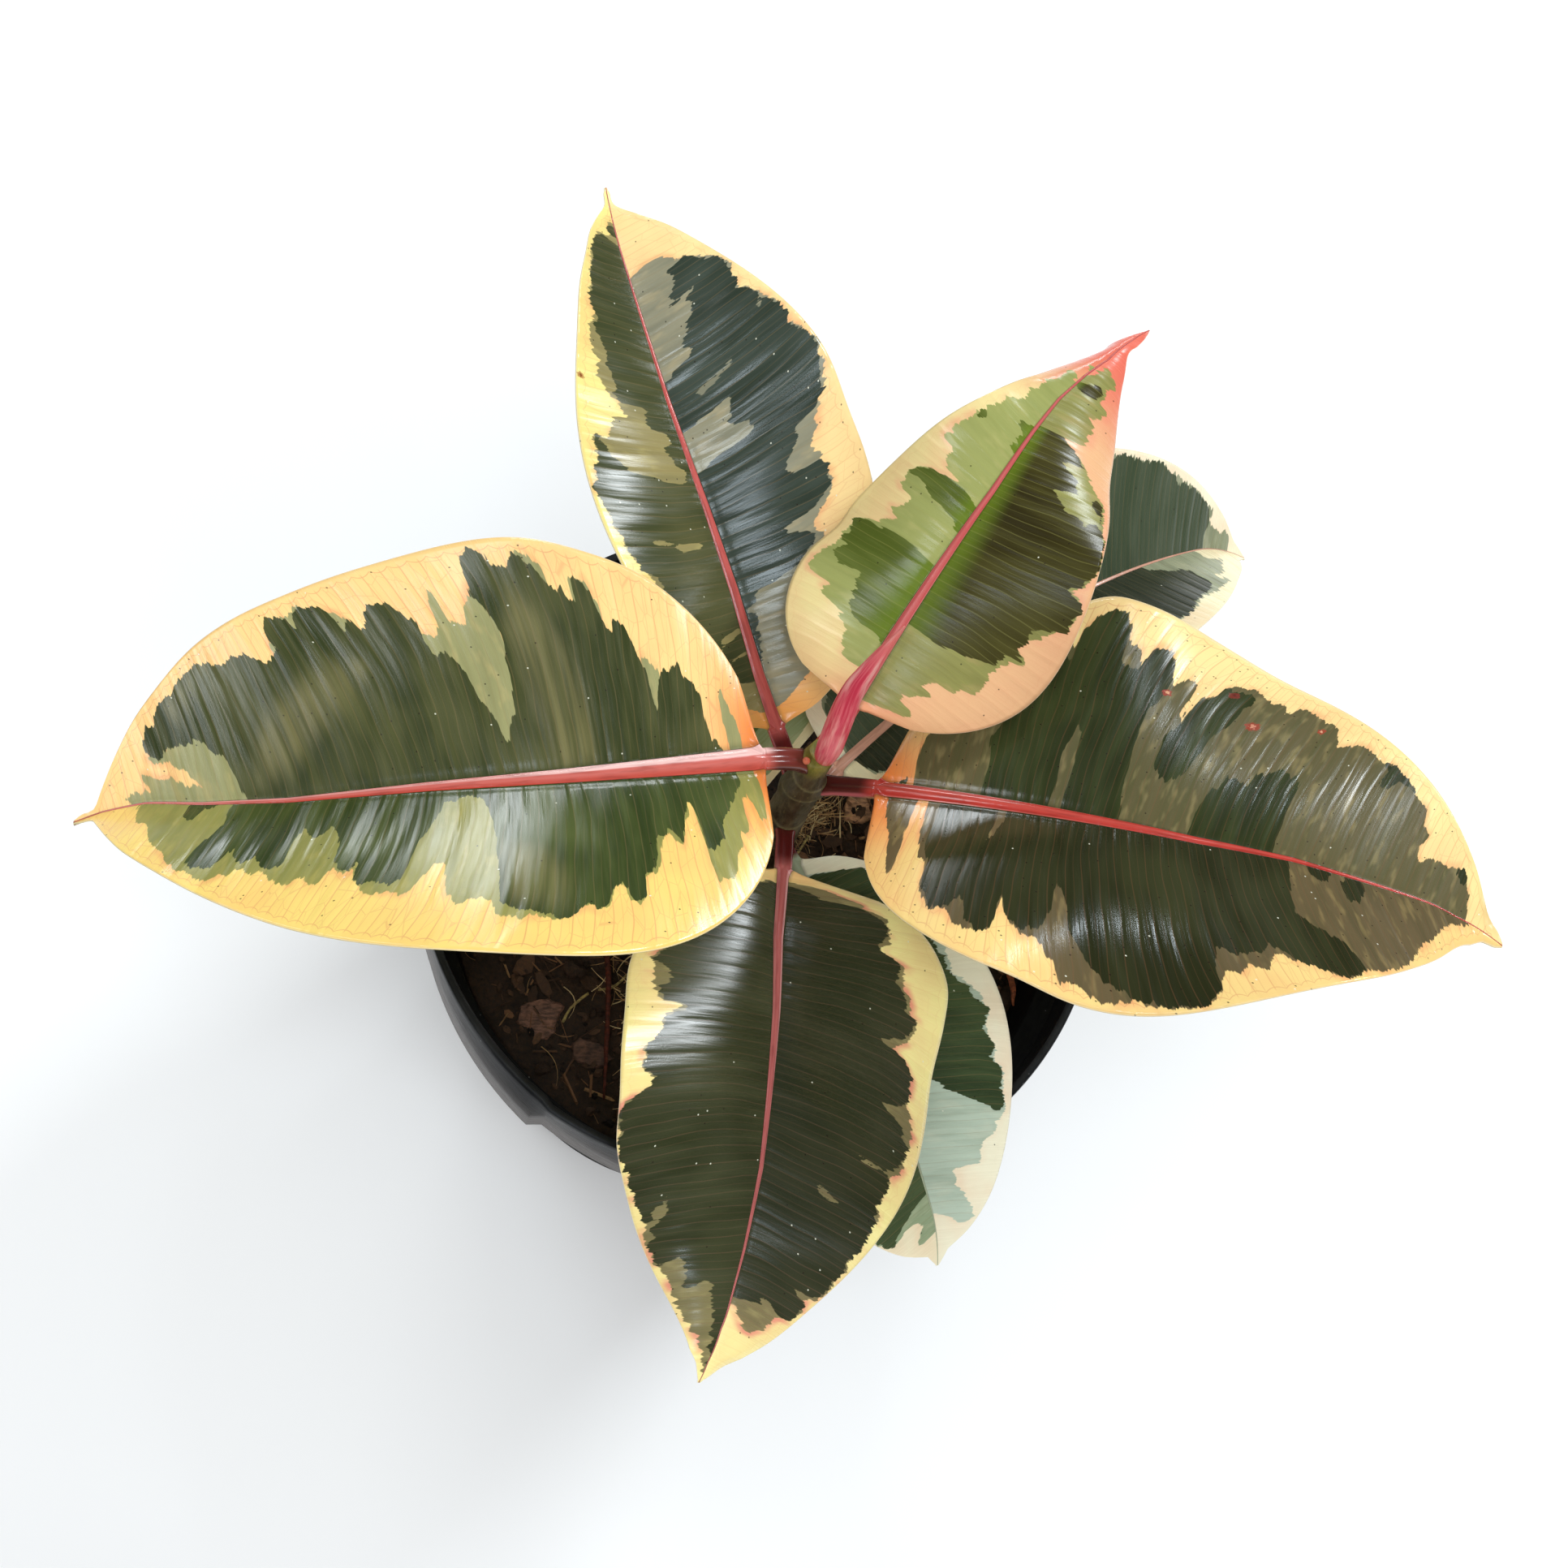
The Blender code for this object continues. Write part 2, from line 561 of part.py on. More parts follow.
def make_coir_fibres(collection):
    for index, (x, y, length, heading, bend) in enumerate(COIR_FIBRES):
        crown = SOIL_CROWN if math.hypot(x, y) < CROWN_RADIUS else 0
        place = Vector((x, y, SOIL_TOP + crown + GAP + FIBRE_RADIUS))
        points = [place.copy()]
        for step in range(FIBRE_STEPS):
            turn = math.radians(heading + bend * step / FIBRE_STEPS)
            place += direction(turn, 0) * length / FIBRE_STEPS
            points.append(place.copy())
        fibre = tube_object(f"coir_fibre_{index + 1}", points, [FIBRE_RADIUS] * len(points), collection)
        give_material(fibre, (0.36, 0.25, 0.13), 0.8)


def make_dropped_scales(collection):
    for name, points, radii in (
        ("dropped_scale_long", LONG_SCALE, LONG_SCALE_RADII),
        ("dropped_scale_short", SHORT_SCALE, SHORT_SCALE_RADII),
    ):
        scale = tube_object(name, points, radii, collection)
        give_material(scale, (0.22, 0.07, 0.035), 0.6)


def main():
    clear_scene()
    parts = new_collection("potted_rubber_plant")
    cutters = new_collection("cutters")
    make_pot(parts, cutters)
    make_potting_mix(parts)
    make_stem(parts)
    make_buds(parts)
    for name, leaf in LEAVES.items():
        make_leaf(name, leaf, parts)
    make_bark_chips(parts)
    make_peat_lumps(parts)
    make_coir_fibres(parts)
    make_dropped_scales(parts)


main()
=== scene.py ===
# %% [markdown]
# # A potted rubber plant
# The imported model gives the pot, the potting mix, the stem, the buds, eight leaves and the loose
# things on the mix, each in its place. This lesson dresses them: every leaf becomes a fine curved
# blade with its own cream, green and grey-green markings, and the pot, the mix and the small pieces
# get their real surfaces. Everything is in metres, +Z up, and rides on the one body, "root".

# %% Load the frame
import math
from types import SimpleNamespace
from typing import NamedTuple

import bpy
import numpy as np
from mathutils import Matrix, Vector, noise


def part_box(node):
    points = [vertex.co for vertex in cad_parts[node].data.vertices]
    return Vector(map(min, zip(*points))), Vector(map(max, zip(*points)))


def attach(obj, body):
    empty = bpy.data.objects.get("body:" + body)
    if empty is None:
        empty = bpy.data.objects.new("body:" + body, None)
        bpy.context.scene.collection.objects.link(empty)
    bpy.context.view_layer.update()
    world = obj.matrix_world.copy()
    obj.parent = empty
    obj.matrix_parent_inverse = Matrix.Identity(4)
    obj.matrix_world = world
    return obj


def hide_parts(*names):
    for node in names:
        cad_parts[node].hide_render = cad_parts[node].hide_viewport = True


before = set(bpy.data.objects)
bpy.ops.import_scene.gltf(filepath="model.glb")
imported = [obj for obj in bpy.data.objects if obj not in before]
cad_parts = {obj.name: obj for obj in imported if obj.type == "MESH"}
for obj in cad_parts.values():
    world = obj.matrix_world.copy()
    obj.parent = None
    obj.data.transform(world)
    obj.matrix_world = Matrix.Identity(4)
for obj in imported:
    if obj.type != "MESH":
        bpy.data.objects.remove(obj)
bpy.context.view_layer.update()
BODY = "root"
print("nodes", len(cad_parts))

# %% [markdown]
# Modelling operators act on whatever is selected, so each new piece starts from an empty
# selection. These helpers select by code, switch modes, read and write a mesh's points, and hand a
# finished piece to the frame.

# %% Selection and mode helpers


def deselect_all():
    if bpy.context.object and bpy.context.object.mode != "OBJECT":
        bpy.ops.object.mode_set(mode="OBJECT")
    for obj in bpy.context.selected_objects:
        obj.select_set(False)
    bpy.context.view_layer.objects.active = None


def make_active(obj):
    deselect_all()
    obj.select_set(True)
    bpy.context.view_layer.objects.active = obj


def new_piece(name):
    """Name the primitive that was just added, and clear its old UV map."""
    obj = bpy.context.object
    obj.name = name
    obj.data.name = name
    while obj.data.uv_layers:
        obj.data.uv_layers.remove(obj.data.uv_layers[0])
    return obj


def read_points(obj):
    points = np.empty(len(obj.data.vertices) * 3)
    obj.data.vertices.foreach_get("co", points)
    return points.reshape(-1, 3)


def write_points(obj, points):
    obj.data.vertices.foreach_set("co", np.asarray(points, dtype=float).ravel())
    obj.data.update()


def settle(obj):
    """Move the piece's place into its mesh, so that its object sits at the origin."""
    make_active(obj)
    bpy.ops.object.transform_apply(location=True, rotation=True, scale=True)


def edit_whole(obj):
    """Go into edit mode with the whole mesh selected."""
    make_active(obj)
    bpy.ops.object.mode_set(mode="EDIT")
    bpy.ops.mesh.select_all(action="SELECT")


def keep_with_points(mesh, name, values):
    """Keep a value or a vector with every point of a mesh."""
    values = np.asarray(values, dtype=float)
    kind, field = ("FLOAT_VECTOR", "vector") if values.ndim > 1 else ("FLOAT", "value")
    mesh.attributes.new(name, kind, "POINT").data.foreach_set(field, values.ravel())


def add_to_scene(name, data):
    obj = bpy.data.objects.new(name, data)
    bpy.context.scene.collection.objects.link(obj)
    return obj


def finish_piece(obj, material, slot, *nodes):
    obj.data.materials.clear()
    obj.data.materials.append(material)
    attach(obj, BODY)
    if nodes:
        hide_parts(*nodes)
    faces = len(obj.data.polygons)
    print(f"{obj.name}: {faces} faces")


# %% [markdown]
# Colours are given as they look on a screen, from 0 to 255, and turned into the linear values
# that shaders work in.

# %% Colours


def tint(red, green, blue):
    linear = []
    for value in (red, green, blue):
        share = value / 255
        linear.append(share / 12.92 if share <= 0.04045 else ((share + 0.055) / 1.055) ** 2.4)
    return (*linear, 1.0)


# %% [markdown]
# A shader is a web of small nodes. This little wrapper adds a node, sets its values and links its
# inputs in one call, so that the recipes below read from top to bottom.

# %% Shader helpers


class Web:
    """Adds and links nodes in one node tree."""

    def __init__(self, tree):
        self.tree = tree
        self.column = 0

    def add(self, kind, links=None, **settings):
        node = self.tree.nodes.new(kind)
        self.column += 1
        node.location = (self.column * 40, -(self.column % 6) * 160)
        for key, value in settings.items():
            setattr(node, key, value)
        for key, value in (links or {}).items():
            self.put(node.inputs[key], value)
        return node

    def put(self, socket, value):
        if isinstance(value, bpy.types.NodeSocket):
            self.tree.links.new(value, socket)
        else:
            socket.default_value = value

    def math(self, operation, first, second=0.0, third=0.0):
        return self.add("ShaderNodeMath", {0: first, 1: second, 2: third}, operation=operation).outputs[0]

    def times(self, first, second):
        return self.math("MULTIPLY", first, second)

    def length(self, x, y):
        """How long a flat vector is."""
        return self.math("POWER", self.math("MULTIPLY_ADD", x, x, self.times(y, y)), 0.5)

    def ramp(self, value, low, high, to_low=0.0, to_high=1.0, smooth=True):
        """Map value from low..high to to_low..to_high, held at both ends."""
        node = self.add("ShaderNodeMapRange", {
            "Value": value, "From Min": low, "From Max": high, "To Min": to_low, "To Max": to_high,
        }, interpolation_type="SMOOTHSTEP" if smooth else "LINEAR")
        return node.outputs["Result"]

    def mix(self, share, first, second):
        node = self.add("ShaderNodeMix", data_type="RGBA")
        self.put(node.inputs["Factor"], share)
        self.put(node.inputs[6], first)
        self.put(node.inputs[7], second)
        return node.outputs[2]

    def vector(self, x, y, z):
        return self.add("ShaderNodeCombineXYZ", {"X": x, "Y": y, "Z": z}).outputs[0]

    def stretch(self, *parts):
        """A vector from three parts; a part is a plain value or a pair of a value and its scale."""
        return self.vector(*(self.times(*part) if isinstance(part, tuple) else part for part in parts))

    def split(self, vector):
        node = self.add("ShaderNodeSeparateXYZ", {"Vector": vector})
        return node.outputs[0], node.outputs[1], node.outputs[2]

    def noise(self, vector, scale, detail=2.0, roughness=0.5):
        settings = {"Vector": vector, "Scale": scale, "Detail": detail, "Roughness": roughness}
        return self.add("ShaderNodeTexNoise", settings).outputs["Fac"]

    def voronoi(self, vector, scale, feature="F1"):
        settings = {"Vector": vector, "Scale": scale}
        return self.add("ShaderNodeTexVoronoi", settings, feature=feature).outputs["Distance"]

    def object_place(self):
        return self.add("ShaderNodeTexCoord").outputs["Object"]

    def stored(self, name, output="Vector"):
        """What the mesh keeps under this name."""
        return self.add("ShaderNodeAttribute", attribute_name=name).outputs[output]

    def group(self, group, links):
        node = self.add("ShaderNodeGroup")
        node.node_tree = group
        for key, value in links.items():
            self.put(node.inputs[key], value)
        return node.outputs


def new_group(name, inputs, outputs):
    """A shader node group with named inputs and outputs. Returns it, its web and its two ends."""
    group = bpy.data.node_groups.new(name, "ShaderNodeTree")
    kinds = {"value": "NodeSocketFloat", "vector": "NodeSocketVector", "colour": "NodeSocketColor"}
    for label, kind in inputs:
        group.interface.new_socket(name=label, in_out="INPUT", socket_type=kinds[kind])
    for label, kind in outputs:
        group.interface.new_socket(name=label, in_out="OUTPUT", socket_type=kinds[kind])
    web = Web(group)
    start = web.add("NodeGroupInput")
    end = web.add("NodeGroupOutput")
    return group, web, start.outputs, end


def new_material(name):
    material = bpy.data.materials.new(name)
    material.use_nodes = True
    web = Web(material.node_tree)
    return material, web, material.node_tree.nodes["Principled BSDF"]


def finish_shader(web, shader, colour, roughness, height=None, depth=0.0, strength=1.0):
    """Link a finish: its colour, its roughness and, where it has one, its relief."""
    web.put(shader.inputs["Base Color"], colour)
    web.put(shader.inputs["Roughness"], roughness)
    if height is not None:
        bump = web.add("ShaderNodeBump", {"Strength": strength, "Distance": depth, "Height": height})
        web.put(shader.inputs["Normal"], bump.outputs[0])


# %% [markdown]
# ## The leaf's shape
# A rubber plant's leaf is a stiff, leathery oval with a strong midrib, a short drip tip, two
# halves that rise from the midrib like a shallow trough, and a lightly waved margin. The midrib
# swells into the stalk without a joint. Each leaf could be a flat sheet bent with lattices, but
# numbers for its heading, pitch, droop, fold and curl say the same thing more exactly, so every
# leaf is one table row, and the same rows shape the solids of the frame.

# %% Leaf table


class Leaf(NamedTuple):
    """Sizes in metres, angles in degrees."""

    height: float        # of the stalk's root
    heading: float       # of the stalk, seen from above
    stalk: float         # stalk length
    rise: float          # stalk's angle above level at its root
    length: float        # blade length
    pitch: float         # midrib's angle above level at the blade's base
    droop: float         # fall of the pitch by the tip
    sway: float          # turn of the heading by the tip
    roll: float          # sideways lean at the base
    twist: float         # more lean by the tip
    fold: float          # rise of each half beside the midrib
    curl: float          # change of that angle by the margin
    open_up: float       # change of the fold from base to tip
    left: float          # half widths, left and right of the heading
    right: float
    base_shape: float    # outline powers: small is round, large is pointed
    base_lean: float     # added for the left half, taken off for the right
    tip_shape: float
    tip_lean: float
    wave: float          # height of the margin's waves
    phase: float         # where the waves start
    hook: float          # sideways bend of the drip tip
    rib: float           # half width of the midrib at the base
    drift: tuple         # (t, shift) of the midrib to the left between the margins
    girth: float = 0.0024          # the stalk's radius
    swells: tuple = ((), ())       # per half, (t, spread, change) where the margin swells or dips


LEAVES = {
    "leaf_west": Leaf(0.2248, 191.0, 0.0135, 44.7, 0.1668, 7.3, 19.5, -7.0, 3.8, 20.5,
                      22.0, -11.1, 8.2, 0.0589, 0.0616, 0.44, -0.017, 0.594, 0.023,
                      -0.0033, 33, 0.0028, 0.0032,
                      ((0, 0), (0.1, 0.0002), (0.3, 0.0004), (0.5, 0.0003), (0.7, 0.0010),
                       (0.82, 0), (0.9, -0.0018), (0.96, -0.0013), (1, 0)), 0.0029,
                      (((0.955, 0.03, -0.045),),
                       ((0.955, 0.034, -0.055), (0.89, 0.04, -0.02), (0.24, 0.07, -0.018),
                        (0.7, 0.07, -0.01)))),
    "leaf_north": Leaf(0.2009, 113.6, 0.013, 33.9, 0.1477, 20.4, 16.5, -4.3, 7.2, 3.8,
                       23.8, -9.3, 0, 0.0349, 0.0447, 0.591, -0.023, 0.759, -0.016,
                       0.003, -25, -0.0013, 0.0019,
                       ((0, 0.001), (0.1, 0.0012), (0.25, 0.0004), (0.4, 0.0005), (0.6, 0.0012),
                        (0.8, 0.0008), (1, 0)), 0.0024,
                       (((0.955, 0.03, -0.05), (0.88, 0.05, -0.035), (0.74, 0.1, -0.025)),
                        ((0.955, 0.034, -0.06), (0.5, 0.08, -0.03)))),
    "leaf_northeast": Leaf(0.2265, 59.8, 0.0137, 66.9, 0.1315, 22.8, 33.4, -8.4, -6.0, -5.5,
                           -1.1, -31.3, -5.8, 0.0342, 0.0395, 0.443, -0.03, 1.147, 0.056,
                           0.0068, 87, -0.0049, 0.0017,
                           ((0, 0), (0.5, 0.0005), (0.65, 0.0014), (0.74, 0.0014), (0.82, 0),
                            (0.88, -0.0018), (0.95, -0.0012), (1, 0)), 0.0026,
                           (((0.3, 0.05, -0.05), (0.66, 0.07, -0.03), (0.84, 0.05, 0.03),
                             (0.92, 0.03, -0.04)),
                            ((0.68, 0.06, -0.025), (0.93, 0.03, -0.055)))),
    "leaf_east": Leaf(0.2086, -12.4, 0.0154, 34.9, 0.1628, 25.7, 35.5, 0.5, -15.8, -1.1,
                      14.2, -17.6, 1.9, 0.0651, 0.0563, 0.465, 0.06, 0.706, -0.008,
                      0.0063, -76, -0.0073, 0.0024,
                      ((0, -0.0002), (0.5, -0.0005), (0.65, 0.0004), (0.8, -0.0006), (0.92, -0.0016),
                       (1, 0)), 0.0026,
                      (((0.3, 0.05, 0.025), (0.47, 0.08, -0.02), (0.6, 0.08, -0.012), (0.97, 0.02, -0.03)),
                       ((0.28, 0.06, -0.022), (0.93, 0.045, -0.07), (0.85, 0.05, -0.015)))),
    "leaf_south": Leaf(0.1824, -94.6, 0.0154, 34.8, 0.1349, 14.6, 28.4, -5.4, -15.2, 4.0,
                       12.0, -20.5, 0.4, 0.0485, 0.043, 0.467, -0.147, 0.818, -0.049,
                       0.0061, 65, -0.005, 0.0017,
                       ((0, -0.0008), (0.15, -0.0012), (0.3, 0), (0.6, 0.001), (0.75, 0),
                        (0.9, -0.0018), (0.96, -0.0012), (1, 0)), 0.0024,
                       (((0.33, 0.08, -0.02), (0.17, 0.04, 0.015), (0.955, 0.03, -0.02)),
                        ((0.36, 0.09, -0.035), (0.62, 0.06, 0.03)))),
    "leaf_low_southeast": Leaf(0.1654, -64.7, 0.0062, 41.9, 0.1147, 7.7, 32.7, -4.2, -6.3, -1.8,
                               12.6, -18.9, 0.3, 0.0377, 0.0413, 0.5, 0.008, 0.593, 0.009,
                               -0.0015, 11, -0.0026, 0.0015,
                               ((0, 0), (1, 0))),
    "leaf_low_northeast": Leaf(0.1724, 44.4, 0.0169, 35.8, 0.1616, 15.3, 51.2, -20.0, 0.1, 3.0,
                               29.7, -3.2, 1.3, 0.0439, 0.0348, 0.434, -0.005, 0.664, 0.009,
                               0.0016, -28, -0.0045, 0.0016,
                               ((0, 0), (1, 0))),
    "leaf_low_northwest": Leaf(0.1716, 140.6, 0.0055, 50.2, 0.075, 12.0, 24.2, -7.1, 3.4, 1.9,
                               17.4, -12.6, 0.2, 0.0374, 0.0442, 0.25, 0.045, 0.68, -0.025,
                               0.0011, 19, -0.0009, 0.0013,
                               ((0, 0), (1, 0))),
}
BLADE_THICKNESS = 0.0007
WAVES_PER_BLADE = 1.6
RIGHT_WAVE_LAG = 97
DRIP_TIP_LENGTH = 0.055
DRIP_TIP_WIDTH = 0.135
BODY_END = 0.97
HOOK_START = 0.86
VEIN_SWEEP = 0.22
VEIN_CURVE = 3.2
STEM_STATIONS = ((0.07, 0.0026), (0.115, 0.0048), (0.205, 0.0044), (0.216, 0.0040),
                 (0.224, 0.0034), (0.2325, 0.0031))
NODE_BULGE = 0.0003
ROOT_SINK = 0.0004

# %% [markdown]
# The outline is a power curve, rounder at the base than at the tip, joined to a narrow drip tip.
# Across the blade, each half is a strip whose slope changes evenly from the midrib to the margin.

# %% Leaf curves


def outline(t, leaf, sign):
    """Half width at t, as a share of the widest; sign is 1 for the left half, -1 for the right."""
    a = leaf.base_shape + sign * leaf.base_lean
    b = leaf.tip_shape + sign * leaf.tip_lean
    widest = a / (a + b)
    along = np.clip(t / BODY_END, 0, 1)
    body = along ** a * (1 - along) ** b / (widest ** a * (1 - widest) ** b)
    join = np.clip((t - 0.75) / 0.18, 0, 1)
    join = join * join * (3 - 2 * join)
    drip = DRIP_TIP_WIDTH * np.clip((1 - t) / DRIP_TIP_LENGTH, 0, 1) ** 0.85 * join
    width = (body ** 2.5 + drip ** 2.5) ** 0.4
    for centre, spread, change in leaf.swells[0 if sign > 0 else 1]:
        width = width + change * np.exp(-((t - centre) / spread) ** 2) * np.clip((1 - t) / 0.02, 0, 1)
    return width


def section_point(share, angle, curl):
    """Across and up, after a share of a strip whose slope starts at angle and changes by curl."""
    end = angle + curl * share
    if abs(curl) < 1e-6:
        return share * np.cos(angle), share * np.sin(angle)
    return (np.sin(end) - np.sin(angle)) / curl, (np.cos(angle) - np.cos(end)) / curl


def along_stations(stations, place):
    """The value at a place between stations, which are pairs of a place and a value."""
    places, values = zip(*stations)
    return float(np.interp(place, places, values))


def stem_radius(height):
    return along_stations(STEM_STATIONS, height)


def vein_place(t, across, leaf):
    """Where the side vein through a point leaves the midrib, from 0 at the base to 1 at the tip."""
    sweep = np.clip((t - 0.15) / 0.5, -0.2, 1)
    return t - sweep * (VEIN_SWEEP * across + VEIN_CURVE * across ** 2) / leaf.length


def midrib_drift(t, leaf):
    return along_stations(leaf.drift, t)


def direction(rise, heading):
    """A unit vector, from its angle above level and its heading in radians."""
    return np.array([math.cos(rise) * math.cos(heading), math.cos(rise) * math.sin(heading),
                     math.sin(rise)])


def leaned(level, normal, lean):
    """The sideways and the upward direction of a leaf that leans about its midrib."""
    side = level * math.cos(lean) + normal * math.sin(lean)
    return side, normal * math.cos(lean) - level * math.sin(lean)


def midrib_path(leaf, stalk_steps, blade_steps):
    """Places and frames along the stalk (t below 0) and along the midrib (t from 0 to 1)."""
    heading = math.radians(leaf.heading)
    pitch = math.radians(leaf.pitch)
    root = stem_radius(leaf.height) + NODE_BULGE - ROOT_SINK
    place = np.array([root * math.cos(heading), root * math.sin(heading), leaf.height])
    level = np.array([-math.sin(heading), math.cos(heading), 0.0])
    stations = []
    for index in range(stalk_steps):
        share = index / stalk_steps
        forward = direction(math.radians(leaf.rise) * (1 - share) + pitch * share, heading)
        normal = np.cross(forward, level)
        upright = max(0.0, 1 - 4 * share)
        normal = normal * (1 - upright) + np.array([0, 0, 1.0]) * upright
        normal /= np.linalg.norm(normal)
        side, up = leaned(level, normal, math.radians(leaf.roll) * share)
        stations.append((share - 1.0, place + side * midrib_drift(0, leaf) * share, side, up))
        place = place + forward * leaf.stalk / stalk_steps

    def midrib_angles(t):
        return pitch - math.radians(leaf.droop) * t, heading + math.radians(leaf.sway) * t

    previous = 0.0
    for index in range(blade_steps):
        even = index / (blade_steps - 0.9)
        t = 0.7 * even + 0.3 * (0.5 - 0.5 * math.cos(math.pi * even))
        place = place + direction(*midrib_angles((previous + t) / 2)) * leaf.length * (t - previous)
        previous = t
        fall, here = midrib_angles(t)
        level = np.array([-math.sin(here), math.cos(here), 0.0])
        normal = np.cross(direction(fall, here), level)
        side, up = leaned(level, normal, math.radians(leaf.roll + leaf.twist * t))
        bend = leaf.hook * max(0, (t - HOOK_START) / (1 - HOOK_START)) ** 2 + midrib_drift(t, leaf)
        stations.append((t, place + side * bend, side, up))
    return stations


# %% [markdown]
# ## Where the colours lie
# The leaf grows in layers. The cream layer shows at the margin, a pale grey-green layer covers
# most of the blade, and a deep green layer lies over that in blocks. Every block follows the side
# veins: it starts and stops between two veins and frays along them. So each half of a leaf is
# described on a straightened chart: across the chart is the place where the side vein leaves the
# midrib (0 at the blade's base, 100 at its tip), up the chart is how far along the vein, from the
# midrib (0) to the margin (100). Each layer is made of closed shapes drawn on that chart: deep
# green, pale green, pale streaks over the green, bare spots in the pale, and a painted sheen, beige
# streaks over the deep green for its reflections. A shape is written as its layer's name and then its
# corners.

# %% Markings table


def read_marks(text):
    """Closed shapes by layer: a layer's name starts a shape, and its "vein,share" corners follow."""
    layers = {"green": [], "pale": [], "over": [], "bare": [], "mist": []}
    for word in text.split():
        if word in layers:
            layers[word].append([])
            shape = layers[word][-1]
        else:
            shape.append([float(value) for value in word.split(",")])
    return layers


